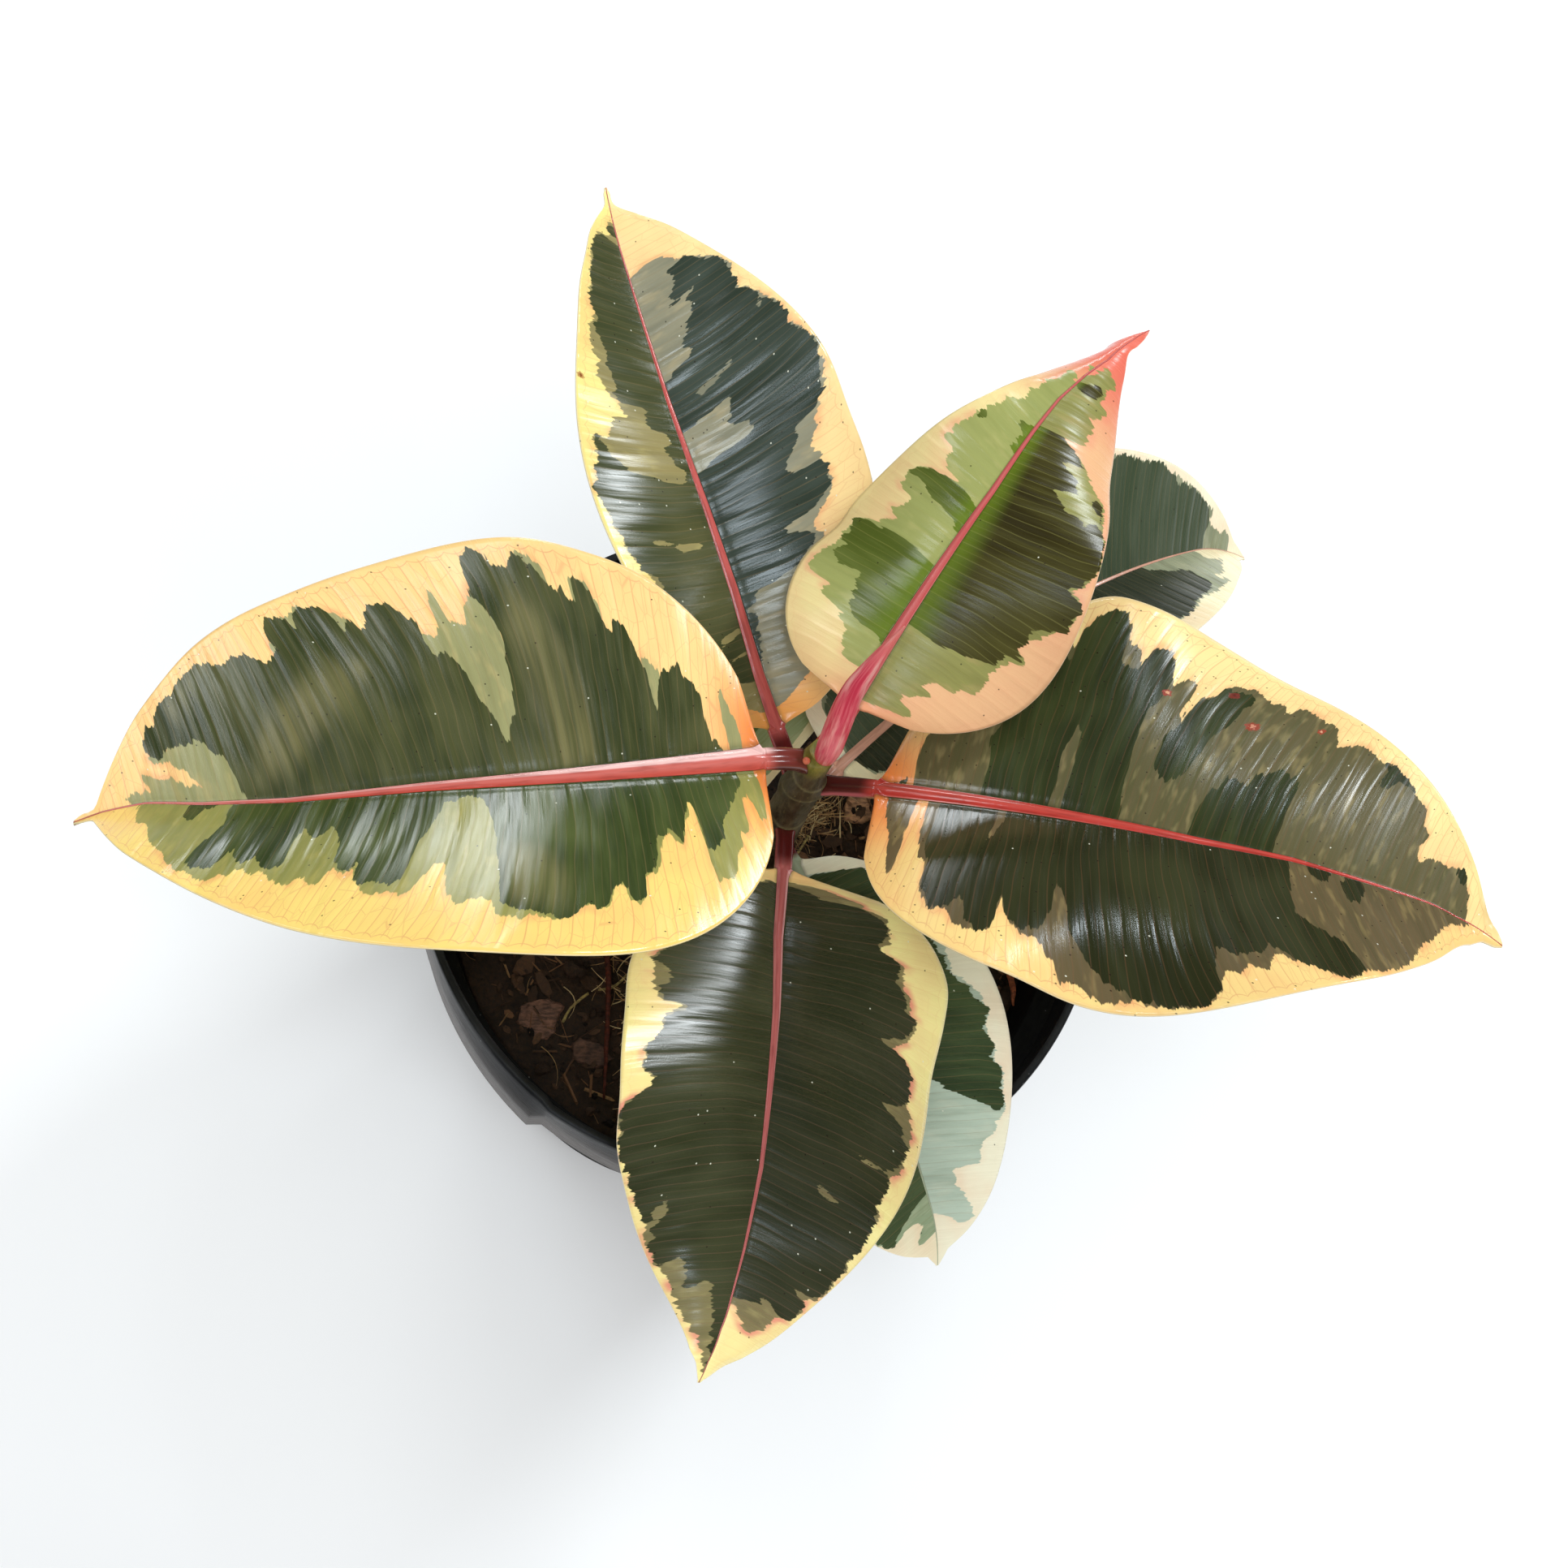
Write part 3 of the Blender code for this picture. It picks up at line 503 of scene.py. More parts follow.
# For every leaf, its left and its right half.
MARKS = {
    "leaf_west": (read_marks("""
green 4.5,-10 5,20 6.5,30 7.5,36 9,40 9.8,45 10,55 11.2,58 12,60 12.6,57 12.9,38 13.1,26 13.7,26 14.2,33
15,40 15.7,49 16.3,44 17.2,38 17.8,42 19,42 19.2,52 20,60 21.5,62 21.7,73 22.5,75 23.7,72 24,66 25,64
25.8,72 27,77 28.5,73 29.5,78 31,81 32,79 34,78 36,76 38,71 38.5,60 39.5,45 40.5,25 42,10 43,8 44,10 45,8
46,10 47.5,10 48.2,22 48.8,30 49.5,38 50,60 51,64 53.5,63 54.5,66 55.6,60 56.2,50 57,60 58,56 59,50 60,35
60.8,28 62,24 62.5,33 64,35 65,28 65.5,23 66,30 66,55 66.5,62 68,63 69,57 70,55 71,60 72,60 73,53 73.8,45
74.2,60 75,72 76,76 78,80 78.5,70 78.5,55 77.8,40 77,25 77.5,10 77.5,-10
green 79,-10 80,10 81,8 82,25 83.2,20 83.5,5 83,-10
pale 2,-10 2.2,45 2.7,68 3.3,72 4,66 4.5,45 5,34 5.5,35 5.8,50 6.2,62 7,60 7.5,55 8,70 9,70 10,80 11.2,83
11.8,78 12.4,80 12.8,70 13,35 13.2,26 13.7,24 14,33 15,40 15.8,50 16.5,48 17.2,40 18.5,43 19,55 20,61
21.5,62 21.6,73 22.5,75 23.7,72 24.2,66 25,63 25.8,73 27,77 28.5,74 29.5,77 31,81 33.5,80 35.5,81 38,80
38.6,74 39.5,69 40.5,70 42,74 43,71 44,68 44.8,60 45.2,53 46,49 47,51 47.8,65 49,70 50,67 52,71 53.5,70
54.5,66 55.5,62 56.2,56 57,60 59,55 59.6,66 60.5,69 62,62 63,70 64.5,72 66,69 67,66 68,62 69,71 70,68
71.2,66 72,75 73,77 73.7,84 75,89 76.5,86 77.8,84 79,89 80,85 81,82 82,75 84,72 85.5,62 86.5,50 87,42
88.5,40 90,30 90.5,10 90.5,-10
mist 30,60 30.5,76 34,76 37.2,70 38.5,55 39.6,38 34,42
"""), read_marks("""
green 5.5,-10 6,10 7,15 7.8,16 8.2,25 8.8,42 10,50 11,53 11.7,59 12.5,56 13,53 14,52 14.7,47 15,32 15.5,30
16,50 17.2,55 18,66 19,72 19.7,72 20,65 21,72 21.5,80 22.5,85 23.5,86 23.7,76 24.5,75 25,82 25.8,77 26.2,78
26.8,82 27.8,90 29,93 30,88 31.8,87 32,95 33.3,96 34.5,94 35.2,85 35.5,76 34.5,72 34,60 34.5,40 35.2,27
36.5,20 37.2,14 37.8,22 38.5,30 39.5,33 40,45 41,50 41.5,55 43,54 43.5,60 43,70 43,74 44,69 44.3,78 45.5,80
46.5,81 48,80 49,74 50,70 50.5,78 51.2,75 52,70 52.5,82 53,88 54,90 55,90 57,88 57.8,80 58.5,88 59.5,91
61.8,92 62.5,86 62.8,80 62,75 62.5,72 64,71 65,69 66,74 67.5,77 69,78 70,80 71,78 73,80 73.8,85 75.5,87
78,87 79.5,85 82,84 84,82 85,78 85.7,70 86.2,75 87.2,73 88,62 88,50 87.5,44 86.5,38 85.5,37 85,42 83,42
81.5,38 80,40 79,36 78,28 76.5,24 76,12 75.5,2 75.5,-10
pale 3,10 3.5,30 4,40 5,50 5.8,56 6.2,50 5.8,30 5,15 4.5,5
pale 14,5 14.5,50 16.5,56 17,20
pale 33,10 34,65 34.5,80 35.5,80 36.5,72 37.5,66 38,62 39.5,68 39.8,80 40.5,76 41,66 42,62 43.5,63 44,40
42,10
pale 20.5,60 21,75 22.2,87 24,86 24,60
pale 26,70 26.8,88 27.8,94 29,93 29,70
pale 50,60 51,80 52,83 53,88 54,60
pale 55,80 55.3,92 56.5,92 58,88 59,90 60.5,86 59,78
pale 61,70 61.5,80 62.6,81 63.2,77 62.8,70
pale 73,-10 74.5,10 76,30 78,40 80,44 82.5,43 85,44 88,44 87,37 85.3,33 84.5,28 83,20 81.5,14 81,10 83,12
84,15 85,18 87,19 88.5,25 89.2,28 89,18 88.5,10 90.5,11 93,12 92,5 92,-10
mist 74.5,83 79,84 83,79 82.5,66 81,58 80,68 79,62 77.5,72 76,80
mist 73,10 72,28 69,40 63,52 55,60 52,55 56,42 62,30 68,14
mist 25,4 25,40 28,66 31,78 33,60 32.5,30 31,4
""")),
    "leaf_north": (read_marks("""
green 9,-10 9,15 10,35 12,40 15,45 20,60 25,70 27,72 29,74 30,84 32,86 34,90 37,91 40,94 43.5,96 44.5,92
46.5,90 47.5,87 49,86 51,88 51.5,84 50,78 48.5,76 48,72 47,66 46,62 45.5,45 44.5,30 44.5,15 45.5,8 47,10
48,18 49,17 50,22 51,18 52,12 53.5,15 54,30 55,33 56,30 57,26 57.8,35 58,52 59,60 60,58 61,55 62,57 63,60
64,63 65.5,60 67,65 69,67 70,75 71,77 72,71 74,73 75,80 77,79 79,79 80,80 82,82 83.5,82 85,87 86.5,87 88,82
89.5,72 90,60 90,45 89.5,30 89,10 88.5,-10
green 90,2 90.5,18 91.5,25 92.5,18 92.5,8 91.5,2
pale 3,-10 3.5,30 5,50 8,65 15,75 22,80 27,80 28,81 29,78 30,85 32,86 34,90 35.5,90 37,91 40,94 43.5,96
44.5,92 46,90 47.5,87 49,88 51,88 51.5,84 51,75 52,70 53,68 54.5,68 55.2,60 55.5,50 56,47 56.5,56 57,58
57.8,55 58.5,62 60,65 61,73 62,77 63.5,77 64,68 64.5,73 66,80 67.5,83 70,84 71.5,82 72.2,76 73,74 74,76
75,80 77,79 80,80 81,83 82,84 83,81 84,87 86,88 87.5,83 88.5,77 89.5,72 90.3,72 90.5,60 90,40 90.5,30 91,22
92,28 93.5,25 94,15 93,5 90,-10
over 32.5,40 33,22 34,20 34,35 34.5,50 35,62 34,60 33.5,45
over 12,42 13,33 13.7,20 14,4 14.6,4 14.3,20 13.8,33 13,43
over 15.5,43 16.5,30 17.5,15 18,4 19,4 18,25 17,35 16,43
"""), read_marks("""
green 10,-10 11,5 12,6 15,10 15.5,6 17,13 18,8 20,10 21,6 22,12 23.5,15 24.2,30 25,40 26.5,50 28,58 29.5,55
30,48 30.5,42 31.5,40 31.8,45 32.5,60 33.5,70 34.5,75 36,73 37,76 38.5,72 38.8,55 39.5,52 41,54 42,60
43.5,65 44.8,66 45,75 45.5,80 46.2,84 46.8,90 48,90 49.5,92 51,95 53,97.5 55,97 57.5,94 58.8,90 60,94 62,95
64,95.5 65.2,92 65.5,88 64.5,82 65.5,81 66.5,88 68,88 69.2,87 69.5,82 70,80 71.5,85 73,86 74.5,93 76,94.5
77.5,93 78.5,80 79,77 80,75 81,66 80.5,55 80,40 79,38 77.8,38 77,33 76,28 75,30 74.2,25 74.5,35 75,45
75.2,52 74.5,45 74,40 72.5,40 71.5,40 71,35 70,30 69,30 68,28 67,20 66,22 65.5,25 64.5,20 64,12 63,6
62.5,-10 53.5,-10 54,15 55,35 54,36 53,33 52,32 51.5,29 50.5,30 50,40 49,42 48,42 47.8,35 47.5,20 46.5,10
45.8,-10
pale 3,-10 4,20 6,40 8,50 12,55 20,62 26,65 28.5,62 30,58 31,60 32,68 33,72 34.5,76 37,75 38.5,72 39,74
40,70 41.2,72 42,74 43,80 44,78 45,84 46.2,85 46.5,90 48,92 50,95 51,96 53,97.5 55,97 57.5,94 59,91 60,94
62,95 64,95.5 65.5,92 66,88 67,89 69,88 69.8,85 70,82 71.5,85 73,86 74.5,93 76,94.5 77.5,93 78.5,85 79,78
80,75 81,68 81.2,52 82,52 83,45 83.5,35 83.5,20 82.5,5 82,-10
over 57.8,20 58.5,18 59,25 59.5,35 60,45 59.5,47 59,42 58.3,30
""")),
    "leaf_northeast": (read_marks("""
green 12,-10 13,5 14,15 14,27 15,38 16.5,45 17.5,42 18.5,50 19.5,44 21,50 22,50 21.8,65 21.5,70 22.5,72
23,80 24,79 25,72 25.8,75 26,85 27,87 29,87 30.5,88 31.2,75 31.5,60 32,50 32,35 31.5,20 31,5 31,-10
green 38.5,-10 39,8 40,12 41,25 41.5,45 42.5,52 43,65 42.5,78 43.5,78 44.7,72 45.5,60 46,45 46.5,28 46.5,20
45.5,12 45,5 45,-10
green 58,78 59,67 59.8,66 60.5,73 60.5,77
green 58.5,-10 58.5,5 59,15 59.7,10 63,8 64,22 64.8,22 64.8,12 65.5,8 66,-10
pale 7,-10 7,25 8,33 10,36 12,38 13,43 14,45 14.5,55 15.5,68 16.5,70 17.8,66 18,88 19,91 21,92 22.5,90
23.5,86 25,84 27,88 29,88 30.5,88 31.5,75 32,65 33,60 34,50 35,62 36,65 37,58 38,57 39,55 39.5,70 40.5,78
41.5,75 42.5,80 43.5,80 44.5,74 45.5,60 46,45 46.5,30 47,35 47.5,50 48.5,60 49.2,65 50,60 50.8,62 51.2,80
52,82 53,75 53.5,85 54.5,84 56,82 58,80 61,78 64,74 67,71 68,58 69,50 70,58 71.5,64 74,60 76,57 78,52 79,48
81,42 81,25 80,15 79,8 79,-10
pale 82.5,-10 83.5,15 84.3,18 85,10 85,-10
"""), read_marks("""
green 18.5,-10 18.5,30 19,45 20,55 20.5,64 22,66 23.5,68 23.5,79 24.5,76 25.8,67 26.8,74 27.8,73 29,71
30,76 30.8,85 31.3,92 33,92 34.5,95.5 36,94 36.8,88 37.5,80 38.3,82 39,92 40,92 41,98 43,98.5 47.5,98 49,96
50.5,93 51.5,86 51,80 50,77 51.5,68 51.5,58 53,50 54,49 55,42 55.5,50 56,60 56.5,64 58,60 59,56 60,48 61,38
61.5,42 62,62 63.5,57 64.5,48 65.5,35 66.3,28 66.5,15 66.5,-10
green 51.5,92 53,94 55,90 56.7,86 57,82 55.5,79 54,80 53,86 52,88
green 77.5,20 77.5,40 79,48 80,50 81,45 81.5,38 81,28 80,15 79.5,2 78.5,2
pale 2,-10 2.5,30 3.5,55 4.5,64 5.5,55 6.3,40 7,33 7.5,40 9,42 10,50 10.8,42 11.5,38 12.5,45 12.7,60 14,62
14.5,68 16,70 17.5,68 19,65 20,67 21.5,68 23,70 23.5,79 24.5,77 25.5,68 26.5,72 27.5,75 28.5,80 30,82 31,86
31.5,92 33,93 34.5,95.5 36,94 37,90 37.5,83 38.5,85 39,92 40,93 41,98 42.5,98.5 47.5,98.5 49,97 51,95 53,94
55,91 57,88 57.5,80 58.5,78 60,72 61,66 62.5,63 63.5,57 64.5,48 65.5,40 66.5,30 66.8,45 67.2,58 69,58 72,55
73,52 73.5,38 74,35 74.5,60 76,68 77.5,66 78,50 79,52 80,60 81,58 82,60 83,70 84.5,70 85,68 85.2,50 85.5,38
86,25 85,15 82,5 82,-10
""")),
    "leaf_east": (read_marks("""
green 16,-10 16.5,20 16,35 17,43 18,45 20,60 22,75 23.8,70 24,85 25,90 26.2,93 28,92 29,85 29.5,75 30,70
31,68 32.5,68 33,80 34.2,82 35.5,79 37,70 37,60 36.8,55 36,52 36.2,35 36.8,15 37.5,5 37.5,-10 28.8,-10
28.8,20 28.4,36 27.7,40 27,25 27,-10
green 39.5,42 40,30 41,25 42.5,22 44,25 45,30 45.5,40 46,50 47,55 47.5,62 47.2,70 48,72 47.8,78 46.5,80
45.5,76 43.5,76 43,68 42,66 41.5,60 41,50
green 48,-10 48.7,15 49.2,24 50,25 50.5,32 51.5,33 52.5,30 54,30 54.5,38 55.5,38 56.5,42 57.8,44 59,42
60,43 60.8,40 61.2,25 61.5,8 61.7,-10
green 70.5,82 72,84 75,84 77.5,82 79,77 77.5,76 76.5,78 75,76 74.5,72 73.5,66 72,62 71.5,60 71.8,70 72.2,77
green 89.5,45 89.3,55 90,63 91,65 91.5,55 91,47
green 2.5,10 4,13 5,19 5,11 4.5,8
pale 5.5,-10 5.5,30 6,50 7,62 10,75 15,82 20,85 23.7,78 24,85 25,90 26.2,93 28,92 29,88 29.5,80 31,79
31.8,76 32.5,72 33,82 34.5,83 36,78 37,70 37.5,66 38.5,73 39.5,72 40.2,70 40.2,55 40.8,50 41.2,60 41.8,67
43,68 43.5,76 45,80 46.5,82 47.5,83 48.5,81 50,80 51.5,82 52.5,77 53.2,80 53.5,85 55,86 56.5,87 59,85
60.5,87 61.5,82 62,77 62.5,72 63.5,74 64.5,77 66,82 67.5,84 69,82 70.5,81 72,84 75,84 77.5,82 78.5,77 80,76
81.2,74 81.5,66 82,58 83.5,55 83,50 82.5,42 82.8,32 83.5,29 84,33 85,40 86.5,42 88,46 89,52 89.5,60 90.5,65
91.5,60 91.8,50 92.5,40 93,20 93.5,5 93.5,-10
"""), read_marks("""
green 10.5,-10 11,20 11,45 11.8,53 12,65 12.5,73 13.5,78 14.2,83 15,80 16,79 16.5,74 17.5,68 18.2,75
18.5,82 20,83 21.2,81 21.8,75 22,66 22.5,60 23,68 24,73 25,77 25.8,73 27,72 28,66 28.8,58 29.3,48 29.8,42
30.5,55 30.8,68 32,75 33,82 34.5,87 36,90 37.5,94 40,95 42.5,96.5 44.5,96.5 46.5,94 47.7,90 48,80 48.5,70
49,62 49.7,65 51,71 53,70 55,69 56,65 57.2,70 57.8,76 59.5,79 61,84 62.5,88 63.5,94 65.5,96.5 67.2,95.5
68.7,91 68.5,80 68,70 67.5,62 66,60 65.5,55 64,52 63,45 62,42 62.5,30 63,20 64,8 64.5,-10
green 67,-10 67.2,8 68.5,13 70,10 71,0 71,-10
green 72,15 72.2,25 73,23 74,25 75,18 76,8 76,2 73.5,3 72.2,8
pale 1.5,-10 3,30 4.5,44 5.5,50 6,62 6.8,73 7.5,82 8,74 8,60 7.5,42 7.2,20 7,-10
pale 8.5,-10 9,15 9.5,35 10.5,52 11.8,55 12,65 12.2,75 13,78 14,84 15,82 16.3,79 17,85 18,85 19.5,84
20.5,83 21.5,80 22,68 22.5,60 23,68 23.7,72 25,78 26,76 27,77 28,83 29,85 29.3,93 31,91 32.5,95 34,96
35.5,95 37,93 39,95 42,97 44,97 46,95 47.5,90 48,84 49,80 50,81 51.5,80 52,78 54,82 55,77 55.8,71 57,70
57.5,77 59,79 60,82 62,88 63.5,94 65.5,96.5 67,96 68.5,93 69,91 70,94 72,95.5 74.5,95 77,92 79,87 81,80
82.5,72 84,71 85.5,66 86.5,60 87.2,50 88,42 89.5,40 90.5,37 92,30 93,20 94,10 94,-10
over 19.6,-10 19.6,15 19,28 20,22 20.8,10 21.2,-10
""")),
    "leaf_south": (read_marks("""
green 2.5,-10 3.5,15 4.5,25 5.5,28 6,45 6,60 7.5,72 9,73 10,70 11.5,66 12.5,60 13.5,60 14.3,66 15,70
16.5,70 17.8,68 18.5,70 20,74 21.5,76 22.5,75 23,82 24,82 25.5,80 26.5,76 27,68 28.5,62 29.2,70 29.8,78
30.5,83 32,86 34,85 36,84 37,83 38,75 38.5,70 39.5,70 40,80 41,85 42.5,87 43.5,90 45.5,91 47.5,90 48.7,88
49.7,83 50.5,85 52,87 54,86 56,85 58,88 60,90 62,91 64,93 66,92 68,92 70,93 72,96 74.5,98 76,97 77,93
77.3,80 77.3,68 77.7,66 78.3,75 78.5,86 79.5,90 81,93 82.5,89 83.2,85 83.3,65 82.5,55 82,45 81,33 82,38
83,42 83.3,30 83.2,15 83.8,5 83.8,-10
pale 2,-10 3,20 3.3,40 4.5,55 5,64 6,63 6.5,72 7.5,76 8.5,72 9,76 9.7,72 11,70 12,68 13,61 14,62 14.8,70
15.5,76 16.5,72 17.5,74 18,71 19.5,74 21,77 22.5,77 22.8,82 24,82 26,80 27,78 28,72 29,70 30,78 31,84 32,86
34,85 36,85 37,84 37.5,87 39,89 41,92 43,91 45,91 47,91 48,90 49.5,88 50.5,85 52,87 54,86 56,86 58,88 60,90
61.5,91 63,90 64,93 66,92 67.5,93 70,93 72,96 74.5,98 76,97 77,94 77.2,85 78.5,85 79.5,91 81,93 82.5,90
83.2,88 83.5,70 84.5,66 85.5,62 86.5,67 87.2,60 87.5,54 88.5,48 88.5,38 88,28 87,20 86,12 85,10 85,-10
over 58.5,42 59,48 59.5,56 60,55 59.8,47 59,40
over 49.5,60 49.8,75 50.3,80 50.7,65 50,58
"""), read_marks("""
green 3,-10 4,30 6,45 10,52 16,60 20,72 22.2,85 23.5,87 24.3,82 25,78 26.2,74 27.5,73 28.5,78 29.5,79
30.8,76 31.2,67 32.2,60 32.8,68 34,75 35.5,76 37,78 38.5,84 40,84 41.2,86 42,86 43,78 43.7,76 44.7,82
45.5,86 46,90 46.8,97 47.5,99 54,99 57.5,98 57.5,94 60,95 63,95.5 66,93 68.3,90 68,85 66.5,83 65.5,80 65,72
63.5,70 64,68 66,70 67.5,72 68,78 69,85 70,87 71.5,85 72,92 74,93 75.5,94.5 77,92 76.5,80 76,72 75.5,66
77,61 78.5,62 80,66 81,70 82,72 82,62 81,50 80.5,40 81,30 82,31 83,27 84,25 85,27 86,30 87,28 88,32 88.5,26
90,25 91,28 92,22 93.5,24 95,16 97,6 97,-10
pale 3,-10 3.5,30 5,45 10,55 15,70 20,82 22.5,87 23.5,88 25,86 26.5,85 28,86 29,83 30,80 31,77 31.5,66
32.2,62 33,72 34.5,76 36,77 37.5,80 39,85 41,85 42,87 42.8,82 43.5,76 44.5,80 45.5,86 46,90 46.8,97 47.5,99
54,99 57.5,98 57.5,95 61,95 64,95 66,92 68.5,90 70,92 71,96 72.5,95.5 73.5,93 75.5,94.5 77,93 79,89 80,86
82,87 84,90 86,87 87.5,83 89,80 90,75 91,65 92.5,53 94.5,42 95.5,48 96.5,47 97,35 98,10 98,-10
""")),
    "leaf_low_southeast": (read_marks("""
green 5,-10 5,25 6,45 7,60 8,80 15,80 25,75 30,72 36,72 37.5,78 40,80 41,84 43,87 45.5,82 47,80 49,83 50,86
52.5,81 53,87 55,91 57.5,90 60,89 62,91 64,92 65,85 63.5,75 62,65 61,52 60,48 59.5,40 57.5,33 56,20 55,5
55,-10
pale 4,-10 5,30 6,50 7.5,70 9,85 15,85 25,80 30,78 35,72 36,79 38,81 40,85 43,88 45,83 47,81 48.5,83 50,86
51,84 52.5,82 53,87 55,91 57,90 60,89 62,91 64.5,92 66,88 67,84 69,83 70.5,80 71,72 72,66 74,65 76,68 77,65
77,55 77.5,50 78,35 79,38 80,42 82,40 84,45 85,55 87,62 88.5,72 90,80 90.5,70 90.5,50 89.5,35 88.5,20
88,-10
"""), read_marks("""
green 4,-10 5,40 10,70 20,84 35,80 50,88 60,82 70,88 78,80 83,84 84,98 87,96 88.5,85 87,65 86,50 84,30
83,-10
pale 3,-10 5,50 10,78 20,86 35,84 50,90 60,86 70,90 78,86 84,99 88,95 88,70 87,50 87,35 88,25 90,30 91,40
92.5,38 92.5,20 92,-10
""")),
    "leaf_low_northeast": (read_marks("""
green 3,-10 5,60 12,82 30,86 45,82 55,90 62,93 64,94 68,94 70.5,91 71,95 74,95 74.5,91 77.5,90 78.5,83
80,87 82,85 85,85 87,82 88,76 88.5,70 89,55 89,45 88,20 88,-10
pale 2,-10 5,66 12,86 30,90 45,86 55,92 62,93 68,94 70.5,91 71,95 74,95 74.5,91 77.5,90 80,87 85,85 87,82
88,76 89.5,78 89.5,70 89,55 89.3,45 90.5,42 92.5,40 93.5,60 94.5,62 95,45 95,20 95,-10
"""), read_marks("""
green 3,-10 4,50 10,80 25,88 40,84 55,88 59,75 60,79 62,81 63.5,78 65,80 66,76 68,75 69,71 70.5,74 72,73
73,75 74,71 76,74 77,70 77.5,60 77,45 77.5,35 76,25 74,20 72,12 70,5 70,-10
pale 3,-10 4,54 10,84 25,90 40,88 55,90 59,80 62,81 66,78 69,74 73,76 75.5,80 78,82 80,87 82,87 82.5,80
81,70 81,62 83,65 84.5,68 85.5,60 87,55 88,48 89,42 88,36 86.5,30 85,20 86,10 84,-10
""")),
    "leaf_low_northwest": (read_marks("""
green 5,-10 8,55 20,70 35,62 50,74 60,66 75,72 88,55 90,-10
pale 4,-10 6,60 18,80 35,72 50,82 62,74 78,80 92,60 93,-10
"""), read_marks("""
green 14,-10 16,35 24,60 35,55 50,70 62,62 75,70 88,50 90,-10
pale 3,-10 5,50 8,70 18,66 35,70 50,80 62,70 78,78 92,55 93,-10
""")),
}
print("leaves with markings:", len(MARKS))

# %% [markdown]
# A mask needs to know how deep a point lies inside a shape. The chart is stretched across the
# veins before measuring, because the edges that run along a vein are clean and the ends fray.

# %% Depth inside a shape
ACROSS_STRETCH = 2.4
FAR = 25.0


def depth_inside(shapes, vein, share, length_mm, half_mm):
    """Millimetres inside the nearest of the shapes, below zero outside all of them."""
    depth = np.full(vein.shape, -FAR)
    x_scale = length_mm * ACROSS_STRETCH
    for shape in shapes:
        corners = np.array(shape) / 100
        near = np.full(vein.shape, FAR ** 2)
        inside = np.zeros(vein.shape, dtype=bool)
        for (u0, s0), (u1, s1) in zip(corners, np.roll(corners, -1, axis=0)):
            ax, ay = (vein - u0) * x_scale, (share - s0) * half_mm
            bx, by = (u1 - u0) * x_scale, (s1 - s0) * half_mm
            along = np.clip((ax * bx + ay * by) / (bx * bx + by * by + 1e-9), 0, 1)
            near = np.minimum(near, (ax - along * bx) ** 2 + (ay - along * by) ** 2)
            if s0 != s1:
                crosses = (s0 > share) != (s1 > share)
                inside ^= crosses & (vein < u0 + (share - s0) / (s1 - s0) * (u1 - u0))
        gap = np.sqrt(near)
        depth = np.maximum(depth, np.where(inside, gap, -gap))
    return depth


# %% [markdown]
# ## Building a leaf
# A fine grid is added and rolled into a closed tube: its rows become rings along the stalk and
# the midrib, half of each ring is the upper face and half the underside. The seam is welded, the
# two ends are filled and the normals are made consistent. Each point also keeps where it lies on
# the leaf, for the markings.

# %% Build one leaf
RIB_TAPER = 1.35
RIB_HEIGHT = 0.56
RIB_SHARPNESS = 1.3
GROOVE_DEPTH = 0.14
RIB_COLUMNS = (0.0, 0.25, 0.5, 0.75, 1.0, 1.3)
STALK_STEPS = 14
COLUMN_WIDTH = 0.0014
ROW_LENGTH = 0.0009


